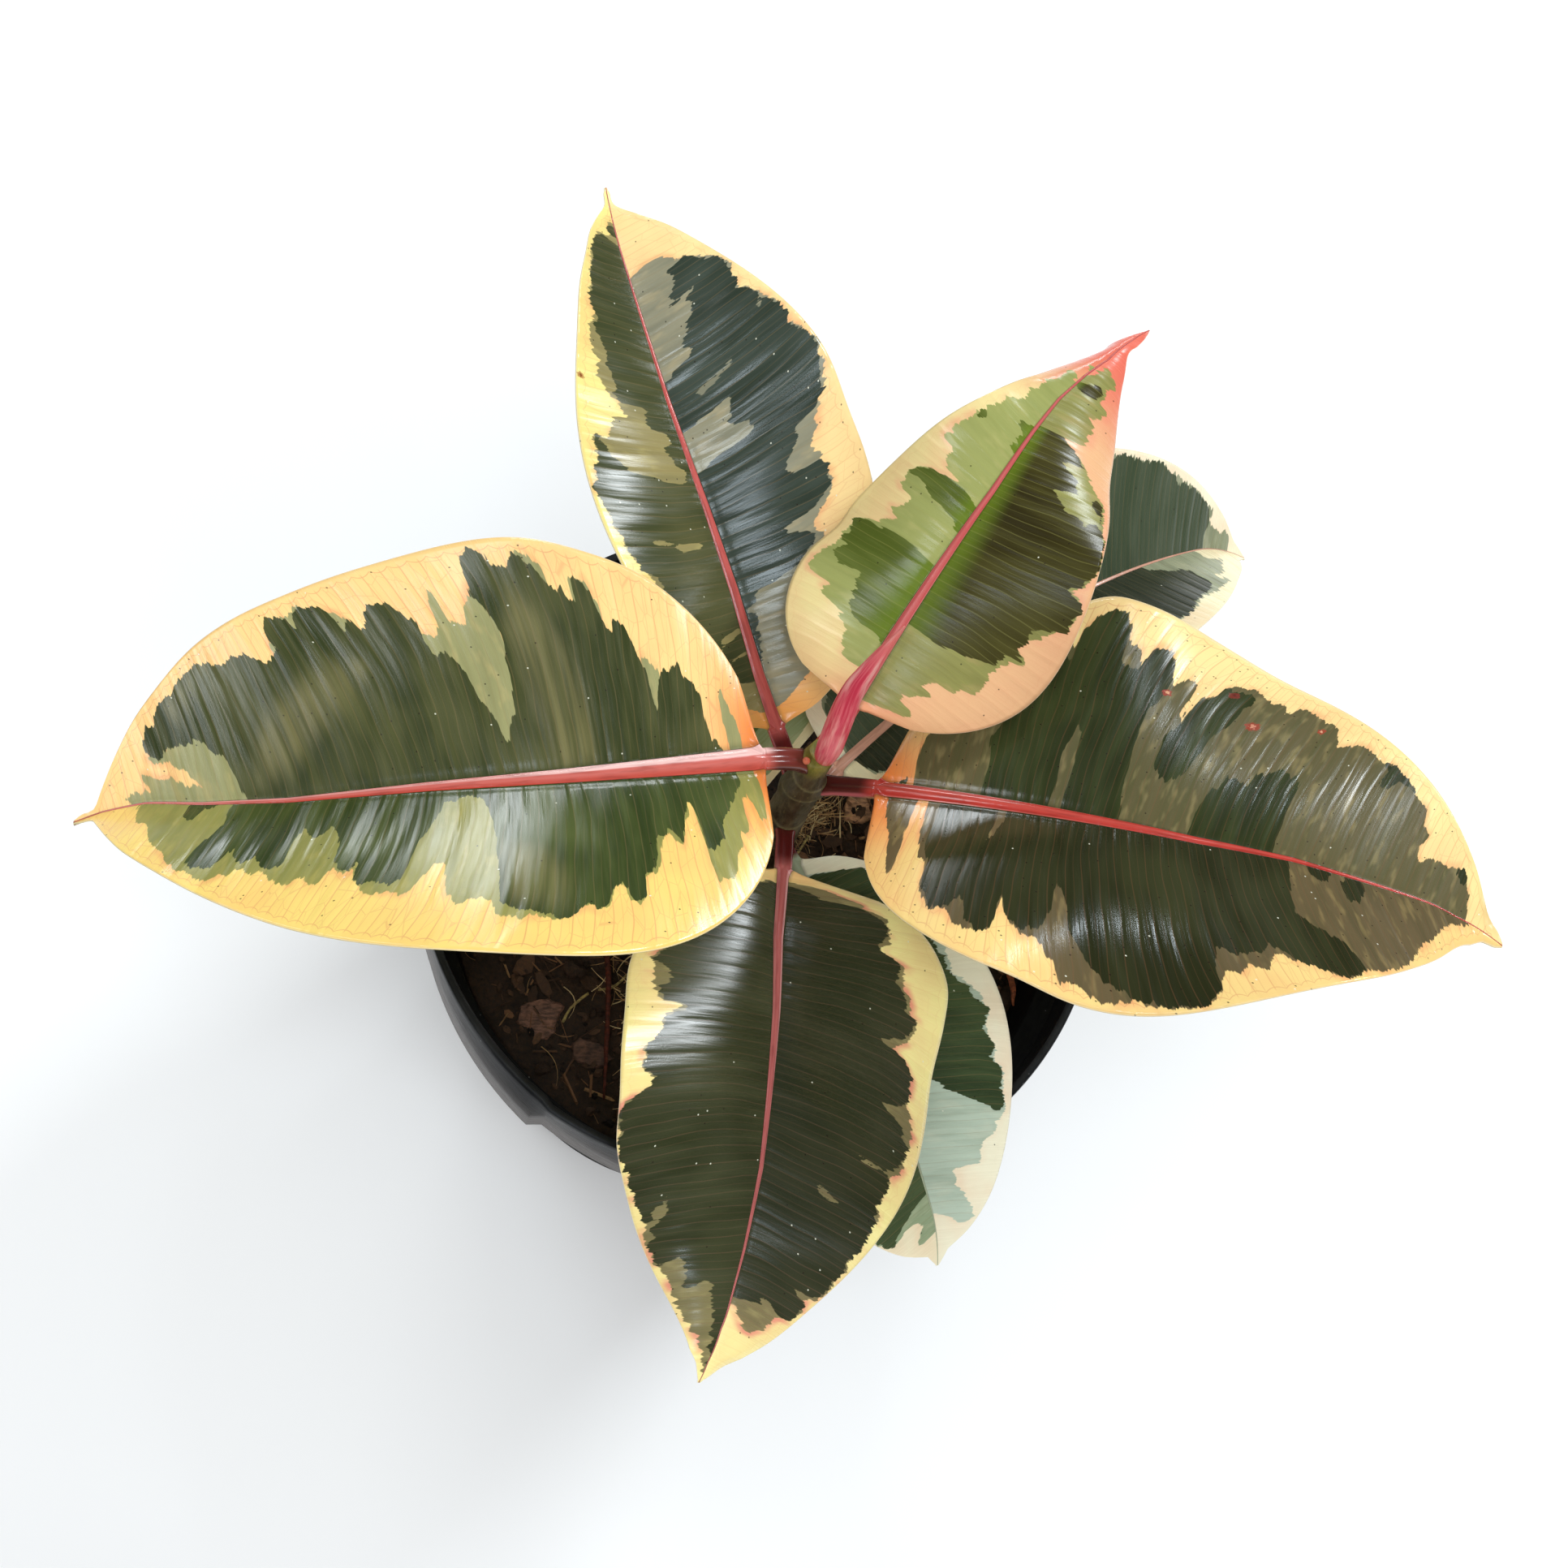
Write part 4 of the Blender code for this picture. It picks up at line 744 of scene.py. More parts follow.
def half_section(leaf, t, sign, stalk_share, lamina_columns):
    """One half of a ring: across, upper height, lower height, and where each point lies."""
    half_full = leaf.left if sign > 0 else leaf.right
    radius = leaf.girth
    rib = leaf.rib * (0.06 + 0.94 * (1 - min(max(t, 0), 1)) ** RIB_TAPER)
    half = radius
    if t >= 0:
        half = half_full * float(outline(np.array(t), leaf, sign)) - sign * midrib_drift(t, leaf)
        half = max(half, 0.0004)
    rib = min(rib, half / 1.4)
    columns = [rib * share for share in RIB_COLUMNS]
    steps = np.linspace(0, 1, lamina_columns + 1)[1:]
    across = np.concatenate([columns, columns[-1] + (half - columns[-1]) * steps])
    share = across / half
    angle = math.radians(leaf.fold + leaf.open_up * (max(t, 0) - 0.5))
    curl = math.radians(leaf.curl)
    x, z = section_point(share, angle, curl)
    x, z = x * half, z * half
    lag = 0 if sign > 0 else RIGHT_WAVE_LAG
    wave = leaf.wave * math.sin(math.tau * WAVES_PER_BLADE * t + math.radians(leaf.phase + lag))
    wave *= math.sqrt(max(math.sin(math.pi * min(max(t, 0), 1)), 0))
    z = z + wave * share ** 2
    slope = angle + curl * share
    ridge = np.clip(1 - (across / max(rib, 1e-6)) ** 2, 0, 1)
    crown = np.clip(1 - (across / max(rib, 1e-6)) ** RIB_SHARPNESS, 0, 1)
    groove = np.exp(-((across / max(rib, 1e-6) - 1.25) / 0.35) ** 2)
    top_z = z + crown * rib * RIB_HEIGHT - groove * rib * GROOVE_DEPTH
    thickness = BLADE_THICKNESS * (1 - 0.45 * share ** 2)
    low_x = x + np.sin(slope) * thickness
    low_z = z - np.cos(slope) * thickness - ridge ** 0.7 * rib * 1.15
    ratio = across / rib
    edge = half - across
    if stalk_share > 0:
        order = np.arange(len(across)) / (len(across) - 1)
        ratio = ratio + (order - ratio) * stalk_share
        edge = edge + (radius - edge) * stalk_share
        turn = math.pi / 2 * (1 - order * 0.97)
        wide = radius * (1.0 + 0.16 * max(0, 1 - (t + 1) * 4) * (t < 0))
        round_x = wide * np.cos(turn)
        round_top = wide * (0.80 * np.sin(turn) - 0.34 * np.exp(-(round_x / (0.5 * wide)) ** 2))
        round_low = -wide * 0.95 * np.sin(turn)
        x = x + (round_x - x) * stalk_share
        low_x = low_x + (round_x - low_x) * stalk_share
        top_z = top_z + (round_top - top_z) * stalk_share
        low_z = low_z + (round_low - low_z) * stalk_share
    return across, share, half, ratio, edge, x, top_z, low_x, low_z


def close_tube(obj):
    """Weld the seam of a rolled grid, fill its two ends and turn its faces outward."""
    edit_whole(obj)
    bpy.ops.mesh.remove_doubles(threshold=0.000002)
    bpy.ops.mesh.select_all(action="DESELECT")
    bpy.ops.mesh.select_mode(type="EDGE")
    bpy.ops.mesh.select_non_manifold()
    bpy.ops.mesh.fill()
    bpy.ops.mesh.select_all(action="SELECT")
    bpy.ops.mesh.normals_make_consistent(inside=False)
    bpy.ops.mesh.select_mode(type="VERT")
    bpy.ops.object.mode_set(mode="OBJECT")
    obj.data.shade_smooth()


def build_leaf(name, leaf):
    lamina_columns = round(max(leaf.left, leaf.right) / COLUMN_WIDTH)
    stations = midrib_path(leaf, STALK_STEPS, round(leaf.length / ROW_LENGTH))
    half_count = len(RIB_COLUMNS) + lamina_columns
    ring = 4 * half_count - 2
    points, places, zones, tones = [], [], [], []
    chart = {1: [], -1: []}
    for t, centre, side, up in stations:
        stalk_share = 1.0 if t < 0 else float(np.clip(1 - t / 0.02, 0, 1) ** 1.5)
        rows = {}
        for sign in (1, -1):
            across, share, half, ratio, edge, x, top_z, low_x, low_z = half_section(
                leaf, t, sign, stalk_share, lamina_columns)
            vein = vein_place(max(t, 0), across, leaf)
            upper = centre + np.outer(sign * x, side) + np.outer(top_z, up)
            lower = centre + np.outer(sign * low_x, side) + np.outer(low_z, up)
            place = np.stack([vein * leaf.length, sign * across, edge], 1)
            tone = np.stack([ratio, np.full(len(across), t), np.zeros(len(across))], 1)
            under = tone + np.array([0, 0, 1.0])
            rows[sign] = (upper, lower, place, tone, under)
            chart[sign].append((vein, share, np.full(len(across), half * 1000)))
        left, right = rows[1], rows[-1]

        def around(upper_index, lower_index):
            return np.concatenate([left[upper_index][::-1], right[upper_index][1:],
                                   right[lower_index][::-1], left[lower_index][1:]])

        points.append(around(0, 1))
        places.append(around(2, 2))
        tones.append(around(3, 4))
    fields = {}
    for sign, marks in zip((1, -1), MARKS[name]):
        vein, share, half_mm = (np.stack(values) for values in zip(*chart[sign]))
        length_mm = leaf.length * 1000
        green, pale, over, bare, mist = (
            depth_inside(shapes, vein, share, length_mm, half_mm) for shapes in marks.values())
        fields[sign] = np.stack([np.minimum(green, -over), np.minimum(pale, -bare), mist], -1)
    for left_zone, right_zone in zip(fields[1], fields[-1]):
        upper_zone = np.concatenate([left_zone[::-1], right_zone[1:]])
        zones.append(np.concatenate([upper_zone, upper_zone[::-1]]))
    deselect_all()
    bpy.ops.mesh.primitive_grid_add(x_subdivisions=ring, y_subdivisions=len(stations) - 1, size=1)
    obj = new_piece(name + "_blade")
    columns = ring + 1

    def closed(blocks):
        stacked = np.stack(blocks)
        return np.concatenate([stacked, stacked[:, :1]], axis=1).reshape(-1, 3)

    assert len(obj.data.vertices) == columns * len(stations)
    write_points(obj, closed(points))
    for label, blocks in (("leaf_place", places), ("leaf_zone", zones), ("leaf_tone", tones)):
        keep_with_points(obj.data, label, closed(blocks))
    close_tube(obj)
    return obj


# %% [markdown]
# ## Leaf finish
# Three tones make the markings: cream, pale grey green, and deep green on top. Every edge is
# pushed back and forth by noise that is fine across the veins and long along them, which frays it
# into the little fingers that real variegated leaves have. These effects are shared by all eight
# leaves, so each is a node group with its own inputs.

# %% Frayed edge


def make_frayed_edge():
    """Turns a depth in millimetres into a mask whose edge frays along the veins."""
    group, web, start, end = new_group(
        "frayed_edge",
        [("Depth", "value"), ("Place", "vector"), ("Fray", "value"), ("Softness", "value"),
         ("Seed", "value")],
        [("Mask", "value")])
    vein, across, _ = web.split(start["Place"])
    fine = web.noise(web.stretch((vein, 1000), (across, 90), start["Seed"]), 1.0, 2.0, 0.6)
    other_seed = web.math("ADD", start["Seed"], 7.3)
    broad = web.noise(web.stretch((vein, 300), (across, 70), other_seed), 1.0, 1.0, 0.5)
    push = web.math("ADD", web.math("SUBTRACT", fine, 0.5),
                    web.times(web.math("SUBTRACT", broad, 0.5), 0.7))
    moved = web.math("MULTIPLY_ADD", push, start["Fray"], start["Depth"])
    low = web.times(start["Softness"], -1.0)
    web.put(end.inputs["Mask"], web.ramp(moved, low, start["Softness"]))
    return group


frayed_edge = make_frayed_edge()

# %% [markdown]
# Side veins run in parallel from the midrib, every few millimetres, with a fainter one between
# each pair. Near the margin they turn and join into a scalloped loop vein, and in the cream a fine
# net hangs between them.

# %% Side veins


def make_side_veins():
    """Masks for the side veins, the net between them and the loop along the margin."""
    group, web, start, end = new_group(
        "side_veins",
        [("Place", "vector"), ("Spacing", "value"), ("Width", "value"), ("Seed", "value")],
        [("Lines", "value"), ("Net", "value"), ("Loop", "value"), ("Pillow", "value")])
    vein, across, edge = web.split(start["Place"])
    shift = web.math("MULTIPLY_ADD", web.math("SIGN", across), 0.0017, vein)
    drift = web.noise(web.stretch((vein, 70), (across, 45), start["Seed"]), 1.0, 1.0, 0.5)
    placed = web.math("MULTIPLY_ADD", web.math("SUBTRACT", drift, 0.5), 0.0030, shift)
    half_gap = web.times(start["Spacing"], 0.5)
    cell = web.math("PINGPONG", placed, half_gap)
    main = web.ramp(cell, 0.0, start["Width"], 1.0, 0.0)
    between = web.math("PINGPONG", web.math("ADD", placed, half_gap), half_gap)
    faint = web.ramp(between, 0.0, web.times(start["Width"], 0.8), 0.55, 0.0)
    web.put(end.inputs["Lines"], web.math("MAXIMUM", main, faint))
    web.put(end.inputs["Pillow"], web.math("DIVIDE", cell, half_gap))
    net = web.voronoi(web.stretch((placed, 300), (across, 130), start["Seed"]), 1.0,
                      "DISTANCE_TO_EDGE")
    web.put(end.inputs["Net"], web.ramp(net, 0.0, 0.022, 1.0, 0.0))
    arch = web.math("POWER", web.math("DIVIDE", cell, half_gap), 2.0)
    line = web.math("MULTIPLY_ADD", arch, -0.0011, 0.0030)
    outer = web.math("ABSOLUTE", web.math("SUBTRACT", edge, line))
    web.put(end.inputs["Loop"], web.ramp(outer, 0.0, 0.00024, 1.0, 0.0))
    return group


side_veins = make_side_veins()

# %% [markdown]
# Leaves that have been outdoors carry small pale scale dots and dark specks. Each speck sits in
# its own cell of a Voronoi pattern, and a second noise leaves most cells empty.

# %% Specks


def make_specks():
    """Small round dots of one size, in a share of the cells."""
    group, web, start, end = new_group(
        "specks",
        [("Place", "vector"), ("Cells Per Metre", "value"), ("Radius", "value"), ("Share", "value"),
         ("Seed", "value")],
        [("Mask", "value")])
    vein, across, _ = web.split(start["Place"])
    spot = web.add("ShaderNodeTexVoronoi", {
        "Vector": web.vector(web.math("MULTIPLY_ADD", start["Seed"], 0.1, vein), across, 0.0),
        "Scale": start["Cells Per Metre"],
    }, voronoi_dimensions="2D")
    red, _, _ = web.split(spot.outputs["Color"])
    size = web.times(start["Radius"], start["Cells Per Metre"])
    dot = web.ramp(spot.outputs["Distance"], web.times(size, 0.6), size, 1.0, 0.0)
    chosen = web.math("LESS_THAN", red, start["Share"])
    web.put(end.inputs["Mask"], web.times(dot, chosen))
    return group


specks = make_specks()

# %% [markdown]
# An old leaf carries a few small scars: a dark corky ring round a paler middle, a little uneven.

# %% Scars


def make_scar():
    group, web, start, end = new_group(
        "leaf_scar", [("Place", "vector"), ("Vein", "value"), ("Across", "value"), ("Radius", "value")],
        [("Ring", "value"), ("Middle", "value")])
    vein, across, _ = web.split(start["Place"])
    along = web.math("SUBTRACT", vein, start["Vein"])
    aside = web.math("SUBTRACT", across, start["Across"])
    distance = web.length(along, aside)
    uneven = web.noise(web.vector(vein, across, 0.0), 1500, 2.0, 0.6)
    share = web.math("MULTIPLY_ADD", web.math("SUBTRACT", uneven, 0.5), 1.6,
                     web.math("DIVIDE", distance, start["Radius"]))
    web.put(end.inputs["Ring"], web.ramp(share, 0.85, 1.1, 1.0, 0.0))
    web.put(end.inputs["Middle"], web.ramp(share, 0.25, 0.5, 1.0, 0.0))
    return group


leaf_scar = make_scar()

# %% [markdown]
# The wax on a leaf is polished in streaks. Fine noise drawn out along the veins varies the
# roughness a little, and a very shallow relief pillows the skin between the side veins.

# %% Waxy skin
STREAK_MM = 0.036
PILLOW_MM = 0.045
SWELL_MM = 1.0
GRAIN_MM = 0.010
MILLIMETRE = 0.001


def make_waxy_skin():
    group, web, start, end = new_group(
        "waxy_skin",
        [("Place", "vector"), ("Pillow", "value"), ("Swell", "value"), ("Seed", "value")],
        [("Gloss", "value"), ("Height", "value")])
    vein, across, _ = web.split(start["Place"])
    streak = web.noise(web.stretch((vein, 1500), (across, 70), start["Seed"]), 1.0, 2.0, 0.6)
    other_seed = web.math("ADD", start["Seed"], 4.0)
    swell = web.noise(web.stretch((vein, 85), (across, 16), other_seed), 1.0, 2.0, 0.5)
    grain = web.noise(web.stretch((vein, 2600), (across, 2600), start["Seed"]), 1.0, 1.0, 0.5)
    shine = web.math("MULTIPLY_ADD", swell, 0.5, web.times(streak, 0.5))
    web.put(end.inputs["Gloss"], web.ramp(shine, 0.3, 0.7))
    height = web.times(streak, STREAK_MM)
    height = web.math("MULTIPLY_ADD", web.ramp(start["Pillow"], 0.0, 0.55), PILLOW_MM, height)
    height = web.math("MULTIPLY_ADD", web.times(swell, start["Swell"]), SWELL_MM, height)
    web.put(end.inputs["Height"], web.math("MULTIPLY_ADD", grain, GRAIN_MM, height))
    return group


waxy_skin = make_waxy_skin()

# %% [markdown]
# One recipe finishes every leaf. Its palette gives the colours of the two halves, because light
# and age make them differ, and says how far the orange of the blade's base reaches.

# %% Leaf palettes
PAIRED_COLOURS = ("cream", "pale", "deep", "mid")
USUAL_COLOURS = {
    "rib": (196, 66, 52), "rib_light": (226, 140, 126), "base": (236, 128, 58), "blush": (232, 150, 100),
    "stalk": (96, 28, 26), "stalk_edge": (168, 72, 74), "vein": (214, 132, 92),
    "green_vein": (146, 120, 80), "mist": (150, 140, 92), "tip": None, "inner": None,
}
USUAL_AMOUNTS = {
    "base_reach": 0.12, "base_amount": 1.0, "blush_amount": 0.5, "inner_amount": 0.9, "net": 0.35,
    "white_share": 0.10, "black_share": 0.10, "edge_glow": 0.45, "swell": 1.0, "shine": 0.5,
    "dullness": (0.0, 0.0), "flank": (0.35, 0.35), "flank_from": 0.78, "lesions": (),
}
LOW_LEAF = {
    "rib": (206, 150, 126), "rib_light": (222, 182, 158), "base_reach": 0.02, "base_amount": 0.0,
    "blush_amount": 0.1, "vein": (226, 190, 156), "net": 0.12,
}


def palette(usual=None, **own):
    """Screen colours made linear, and amounts. Pairs are for the left and the right half."""
    values = {**USUAL_COLOURS, **USUAL_AMOUNTS, **(usual or {}), **own}
    for key in PAIRED_COLOURS:
        values[key] = [tint(*colour) for colour in values[key]]
    for key in USUAL_COLOURS:
        values[key] = values[key] and tint(*values[key])
    return SimpleNamespace(**values)


PALETTES = {
    "leaf_west": palette(
        cream=[(244, 212, 118), (252, 212, 138)], pale=[(150, 146, 78), (156, 154, 104)],
        deep=[(48, 60, 24), (50, 58, 26)], mid=[(92, 102, 52), (98, 98, 58)], rib=(190, 62, 44),
        rib_light=(248, 206, 198), flank=(0.05, 0.90), flank_from=0.10, base_reach=0.10,
        stalk=(108, 46, 40), stalk_edge=(74, 28, 26), white_share=0.25, black_share=0.25, net=0.55,
        swell=1.7, dullness=(-0.04, 0.0)),
    "leaf_north": palette(
        cream=[(244, 226, 138), (252, 218, 152)], pale=[(150, 138, 88), (146, 142, 116)],
        deep=[(60, 66, 36), (44, 54, 42)], mid=[(90, 90, 56), (74, 84, 74)], rib=(186, 78, 72),
        rib_light=(222, 146, 136), base_reach=0.22, base=(248, 168, 84),
        white_share=0.8, black_share=0.4, net=0.30, swell=1.9, dullness=(-0.02, -0.05),
        lesions=[(0.1004, -0.0360, 0.0016, (186, 116, 60), (120, 66, 28)),
                 (0.0894, 0.0265, 0.0009, (176, 120, 60), (140, 84, 40))]),
    "leaf_northeast": palette(
        cream=[(232, 212, 148), (230, 180, 132)], pale=[(156, 160, 94), (144, 142, 80)],
        deep=[(80, 92, 32), (46, 40, 10)], mid=[(120, 130, 66), (84, 80, 34)], rib=(186, 82, 80),
        rib_light=(232, 160, 152), base=(226, 140, 104), base_reach=0.09, base_amount=0.6,
        blush=(228, 150, 118), stalk=(186, 56, 60), stalk_edge=(214, 84, 76), tip=(226, 112, 92),
        inner=(104, 128, 26), inner_amount=0.6, green_vein=(160, 156, 84), white_share=0.05,
        black_share=0.15, net=0.12, swell=0.6, dullness=(-0.05, 0.02), shine=0.33),
    "leaf_east": palette(
        cream=[(246, 220, 150), (240, 208, 132)], pale=[(96, 88, 58), (100, 86, 58)],
        deep=[(40, 46, 20), (38, 40, 18)], mid=[(68, 76, 42), (60, 62, 36)], base_reach=0.14,
        black_share=0.8, white_share=0.3, vein=(206, 130, 90), green_vein=(128, 84, 58),
        stalk=(80, 30, 25), stalk_edge=(176, 90, 92), net=0.50, rib=(184, 52, 42),
        swell=0.6, dullness=(-0.06, -0.07),
        lesions=[(0.0606, 0.0400, 0.0011, (150, 52, 40), (206, 150, 112)),
                 (0.0733, 0.0460, 0.0012, (120, 44, 34), (96, 40, 30)),
                 (0.0814, 0.0370, 0.0016, (150, 60, 44), (196, 130, 104)),
                 (0.0961, 0.0410, 0.0010, (158, 64, 46), (216, 160, 126))]),
    "leaf_south": palette(
        cream=[(248, 234, 156), (250, 232, 152)], pale=[(128, 116, 78), (132, 122, 80)],
        deep=[(44, 48, 28), (48, 52, 28)], mid=[(64, 64, 44), (74, 76, 50)], rib=(172, 74, 70),
        rib_light=(232, 176, 170), flank=(0.60, 0.25), flank_from=0.45, base_reach=0.06,
        base_amount=0.4, blush=(230, 150, 120), blush_amount=1.0, white_share=0.6, black_share=0.2,
        green_vein=(132, 96, 76), net=0.12, swell=1.3),
    "leaf_low_southeast": palette(
        LOW_LEAF, cream=[(250, 244, 214), (250, 240, 204)], pale=[(188, 204, 184), (152, 168, 132)],
        deep=[(50, 64, 38), (70, 84, 52)], mid=[(80, 96, 60), (96, 110, 72)], rib=(168, 176, 146),
        rib_light=(188, 196, 168), edge_glow=0.2, vein=(226, 196, 168), net=0.06),
    "leaf_low_northeast": palette(
        LOW_LEAF, cream=[(248, 238, 206), (246, 234, 190)], pale=[(140, 144, 114), (158, 162, 130)],
        deep=[(62, 74, 52), (40, 46, 30)], mid=[(88, 96, 76), (66, 70, 50)]),
    "leaf_low_northwest": palette(
        LOW_LEAF, cream=[(248, 238, 190), (248, 238, 190)], pale=[(166, 180, 136), (162, 174, 128)],
        deep=[(78, 98, 56), (92, 114, 66)], mid=[(110, 132, 86), (126, 150, 92)]),
}

# %% Leaf material
FRAY_MM = 4.2
VEIN_SPACING = 0.0037
VEIN_WIDTH = 0.00019
SPECK_RADIUS = 0.00024
RIM_WIDTH = 0.00030


def leaf_material(name, colours, seed):
    material, web, shader = new_material(name + "_surface")
    place = web.stored("leaf_place")
    zone = web.stored("leaf_zone")
    tone = web.stored("leaf_tone")
    vein, across, edge = web.split(place)
    green_mm, pale_mm, painted_sheen_mm = web.split(zone)
    rib_ratio, along, under = web.split(tone)
    right_half = web.ramp(across, 0.0004, -0.0004)

    def frayed(depth, fray, softness, offset):
        return web.group(frayed_edge, {"Depth": depth, "Place": place, "Fray": fray,
                                       "Softness": softness, "Seed": seed + offset})["Mask"]

    def halves(pair):
        return web.mix(right_half, pair[0], pair[1])

    def cloud(vein_scale, across_scale, offset, detail=2.0):
        place = web.stretch((vein, vein_scale), (across, across_scale), seed + offset)
        return web.noise(place, 1.0, detail, 0.55)

    green = frayed(green_mm, FRAY_MM, 0.16, 0.0)
    pale = frayed(pale_mm, FRAY_MM, 0.22, 11.0)
    veins = web.group(side_veins, {"Place": place, "Spacing": VEIN_SPACING, "Width": VEIN_WIDTH,
                                   "Seed": seed})

    # The cream: warmer by the base, salmon where it meets the green, a fine net of veins.
    warmth = cloud(60, 60, 5.0)
    cream = web.mix(web.ramp(warmth, 0.35, 0.70, 0.0, 0.22), halves(colours.cream), colours.blush)
    beside_green = web.times(web.ramp(pale_mm, -3.0, -0.2),
                             web.ramp(cloud(160, 60, 6.0), 0.42, 0.62))
    cream = web.mix(web.times(beside_green, colours.blush_amount), cream, colours.blush)
    by_base = web.ramp(along, 0.0, colours.base_reach, 1.0, 0.0)
    by_rib = web.ramp(rib_ratio, 1.0, 12.0, 1.0, 0.25)
    base_share = web.times(web.times(by_base, by_rib), colours.base_amount)
    cream = web.mix(base_share, cream, colours.base)
    if colours.tip:
        cream = web.mix(web.ramp(along, 0.70, 0.90), cream, colours.tip)
    net = web.math("MAXIMUM", veins["Lines"], web.times(veins["Net"], 0.6))
    inside_loop = web.ramp(edge, 0.0016, 0.0030)
    net = web.math("MAXIMUM", web.times(net, inside_loop), veins["Loop"])
    cream = web.mix(web.times(net, colours.net), cream, colours.vein)

    # The pale green and the deep green, mottled along the veins.
    mottle = cloud(300, 30, 3.0, 3.0)
    broad = cloud(45, 30, 8.0)
    pale_colour = web.mix(web.ramp(mottle, 0.35, 0.75, 0.0, 0.35), halves(colours.pale),
                          halves(colours.mid))
    flecks = web.ramp(cloud(420, 120, 15.0), 0.50, 0.72, 0.0, 0.12)
    pale_colour = web.mix(flecks, pale_colour, halves(colours.cream))
    deep_colour = web.mix(web.ramp(mottle, 0.35, 0.75, 0.0, 0.5), halves(colours.deep),
                          halves(colours.mid))
    deep_colour = web.mix(web.ramp(broad, 0.42, 0.72, 0.0, 0.6), deep_colour, halves(colours.mid))
    if colours.inner:
        inner = web.times(web.ramp(rib_ratio, 1.5, 9.0, 1.0, 0.0), colours.inner_amount)
        deep_colour = web.mix(inner, deep_colour, colours.inner)
    # A painted sheen: streaky beige over the deep green stands in for its reflections.
    streaky = web.ramp(cloud(420, 14, 23.0), 0.30, 0.65, 0.08, 0.44)
    mist = web.times(frayed(painted_sheen_mm, 3.0, 4.5, 31.0), streaky)
    deep_colour = web.mix(mist, deep_colour, colours.mist)
    colour = web.mix(pale, cream, pale_colour)
    colour = web.mix(green, colour, deep_colour)
    line_share = web.times(veins["Lines"], web.math("MAXIMUM", green, pale))
    colour = web.mix(web.times(line_share, 0.24), colour, colours.green_vein)

    # Scale dots and dark specks.
    white = web.group(specks, {"Place": place, "Cells Per Metre": 170.0, "Radius": SPECK_RADIUS,
                               "Share": colours.white_share * 0.25, "Seed": seed})["Mask"]
    black = web.group(specks, {"Place": place, "Cells Per Metre": 300.0, "Radius": SPECK_RADIUS,
                               "Share": colours.black_share * 0.35, "Seed": seed + 2.0})["Mask"]
    colour = web.mix(web.times(white, 0.75), colour, tint(236, 236, 214))
    colour = web.mix(web.times(black, 0.80), colour, tint(34, 24, 16))

    for vein_place, across_place, radius, ring_colour, middle_colour in colours.lesions:
        scar = web.group(leaf_scar, {"Place": place, "Vein": vein_place, "Across": across_place,
                                     "Radius": radius})
        colour = web.mix(web.times(scar["Ring"], 0.85), colour, tint(*ring_colour))
        colour = web.mix(scar["Middle"], colour, tint(*middle_colour))

    # The midrib and the stalk; a painted highlight lightens the midrib, faintly along its crest and more on
    # its flanks.
    rib_mask = web.ramp(rib_ratio, 0.98, 1.06, 1.0, 0.0)
    crest = web.ramp(rib_ratio, 0.1, 0.9, 1.0, 0.0)
    rib_colour = web.mix(web.times(crest, 0.15), colours.rib, colours.rib_light)
    # The painted highlight on the flanks can favour one side, as on the west and south leaves.
    flank_highlight_amount = web.ramp(right_half, 0.0, 1.0, *colours.flank)
    flank = web.times(web.ramp(rib_ratio, colours.flank_from, colours.flank_from + 0.2),
                      web.times(flank_highlight_amount, web.ramp(along, 0.25, 0.45, 1.0, 0.4)))
    rib_colour = web.mix(flank, rib_colour, colours.rib_light)
    rib_colour = web.mix(web.ramp(cloud(120, 900, 21.0), 0.45, 0.70, 0.0, 0.30), rib_colour, colours.stalk)
    # Painted shade: the deep green darkens the groove beside the midrib.
    rib_groove_shade = web.ramp(rib_ratio, 1.0, 1.7, 0.45, 0.0)
    colour = web.mix(rib_groove_shade, colour, halves(colours.deep))
    colour = web.mix(rib_mask, colour, rib_colour)
    stalk_mask = web.ramp(along, -0.30, 0.03, 1.0, 0.0)
    hollow = web.ramp(rib_ratio, 0.60, 0.95)
    colour = web.mix(stalk_mask, colour, web.mix(hollow, colours.stalk, colours.stalk_edge))

    # A thin light rim, and a duller, paler underside.
    rim = web.ramp(edge, 0.0, RIM_WIDTH, colours.edge_glow, 0.0)
    colour = web.mix(rim, colour, tint(252, 236, 204))
    below = web.mix(0.45, colour, tint(158, 160, 104))
    colour = web.mix(web.times(under, web.math("SUBTRACT", 1.0, stalk_mask)), colour, below)
    skin = web.group(waxy_skin, {"Place": place, "Pillow": veins["Pillow"], "Swell": colours.swell,
                                 "Seed": seed + 9.0})
    gloss = web.ramp(skin["Gloss"], 0.0, 1.0, 0.20, 0.32, smooth=False)
    gloss = web.math("ADD", gloss, web.ramp(right_half, 0.0, 1.0, *colours.dullness))
    gloss = web.math("MULTIPLY_ADD", rib_mask, -0.05, gloss)
    roughness = web.math("MULTIPLY_ADD", under, 0.22, gloss)
    smooth_rib = web.math("MULTIPLY_ADD", rib_mask, -0.8, 1.0)
    finish_shader(web, shader, colour, roughness, web.times(skin["Height"], smooth_rib), MILLIMETRE)
    shader.inputs["Specular IOR Level"].default_value = colours.shine
    return material


# %% Make the eight leaves
SEED_STEP = 3.7

for number, (name, leaf) in enumerate(LEAVES.items()):
    blade = build_leaf(name, leaf)
    surface = leaf_material(name, PALETTES[name], SEED_STEP * number + 1.0)
    finish_piece(blade, surface, "leaf", name)

# %% [markdown]
# ## The stem
# A young rubber plant has a smooth stem, green at its growing point and brown lower down. Each leaf
# sits on a slightly swollen node, and a thin pale ring runs round the stem where a sheath dropped
# off. A stem is round, so a profile is drawn with extrude and spun; then the nodes are pushed out
# towards their own leaves, because a real stem isn't a perfect lathe shape.

# %% A lathe


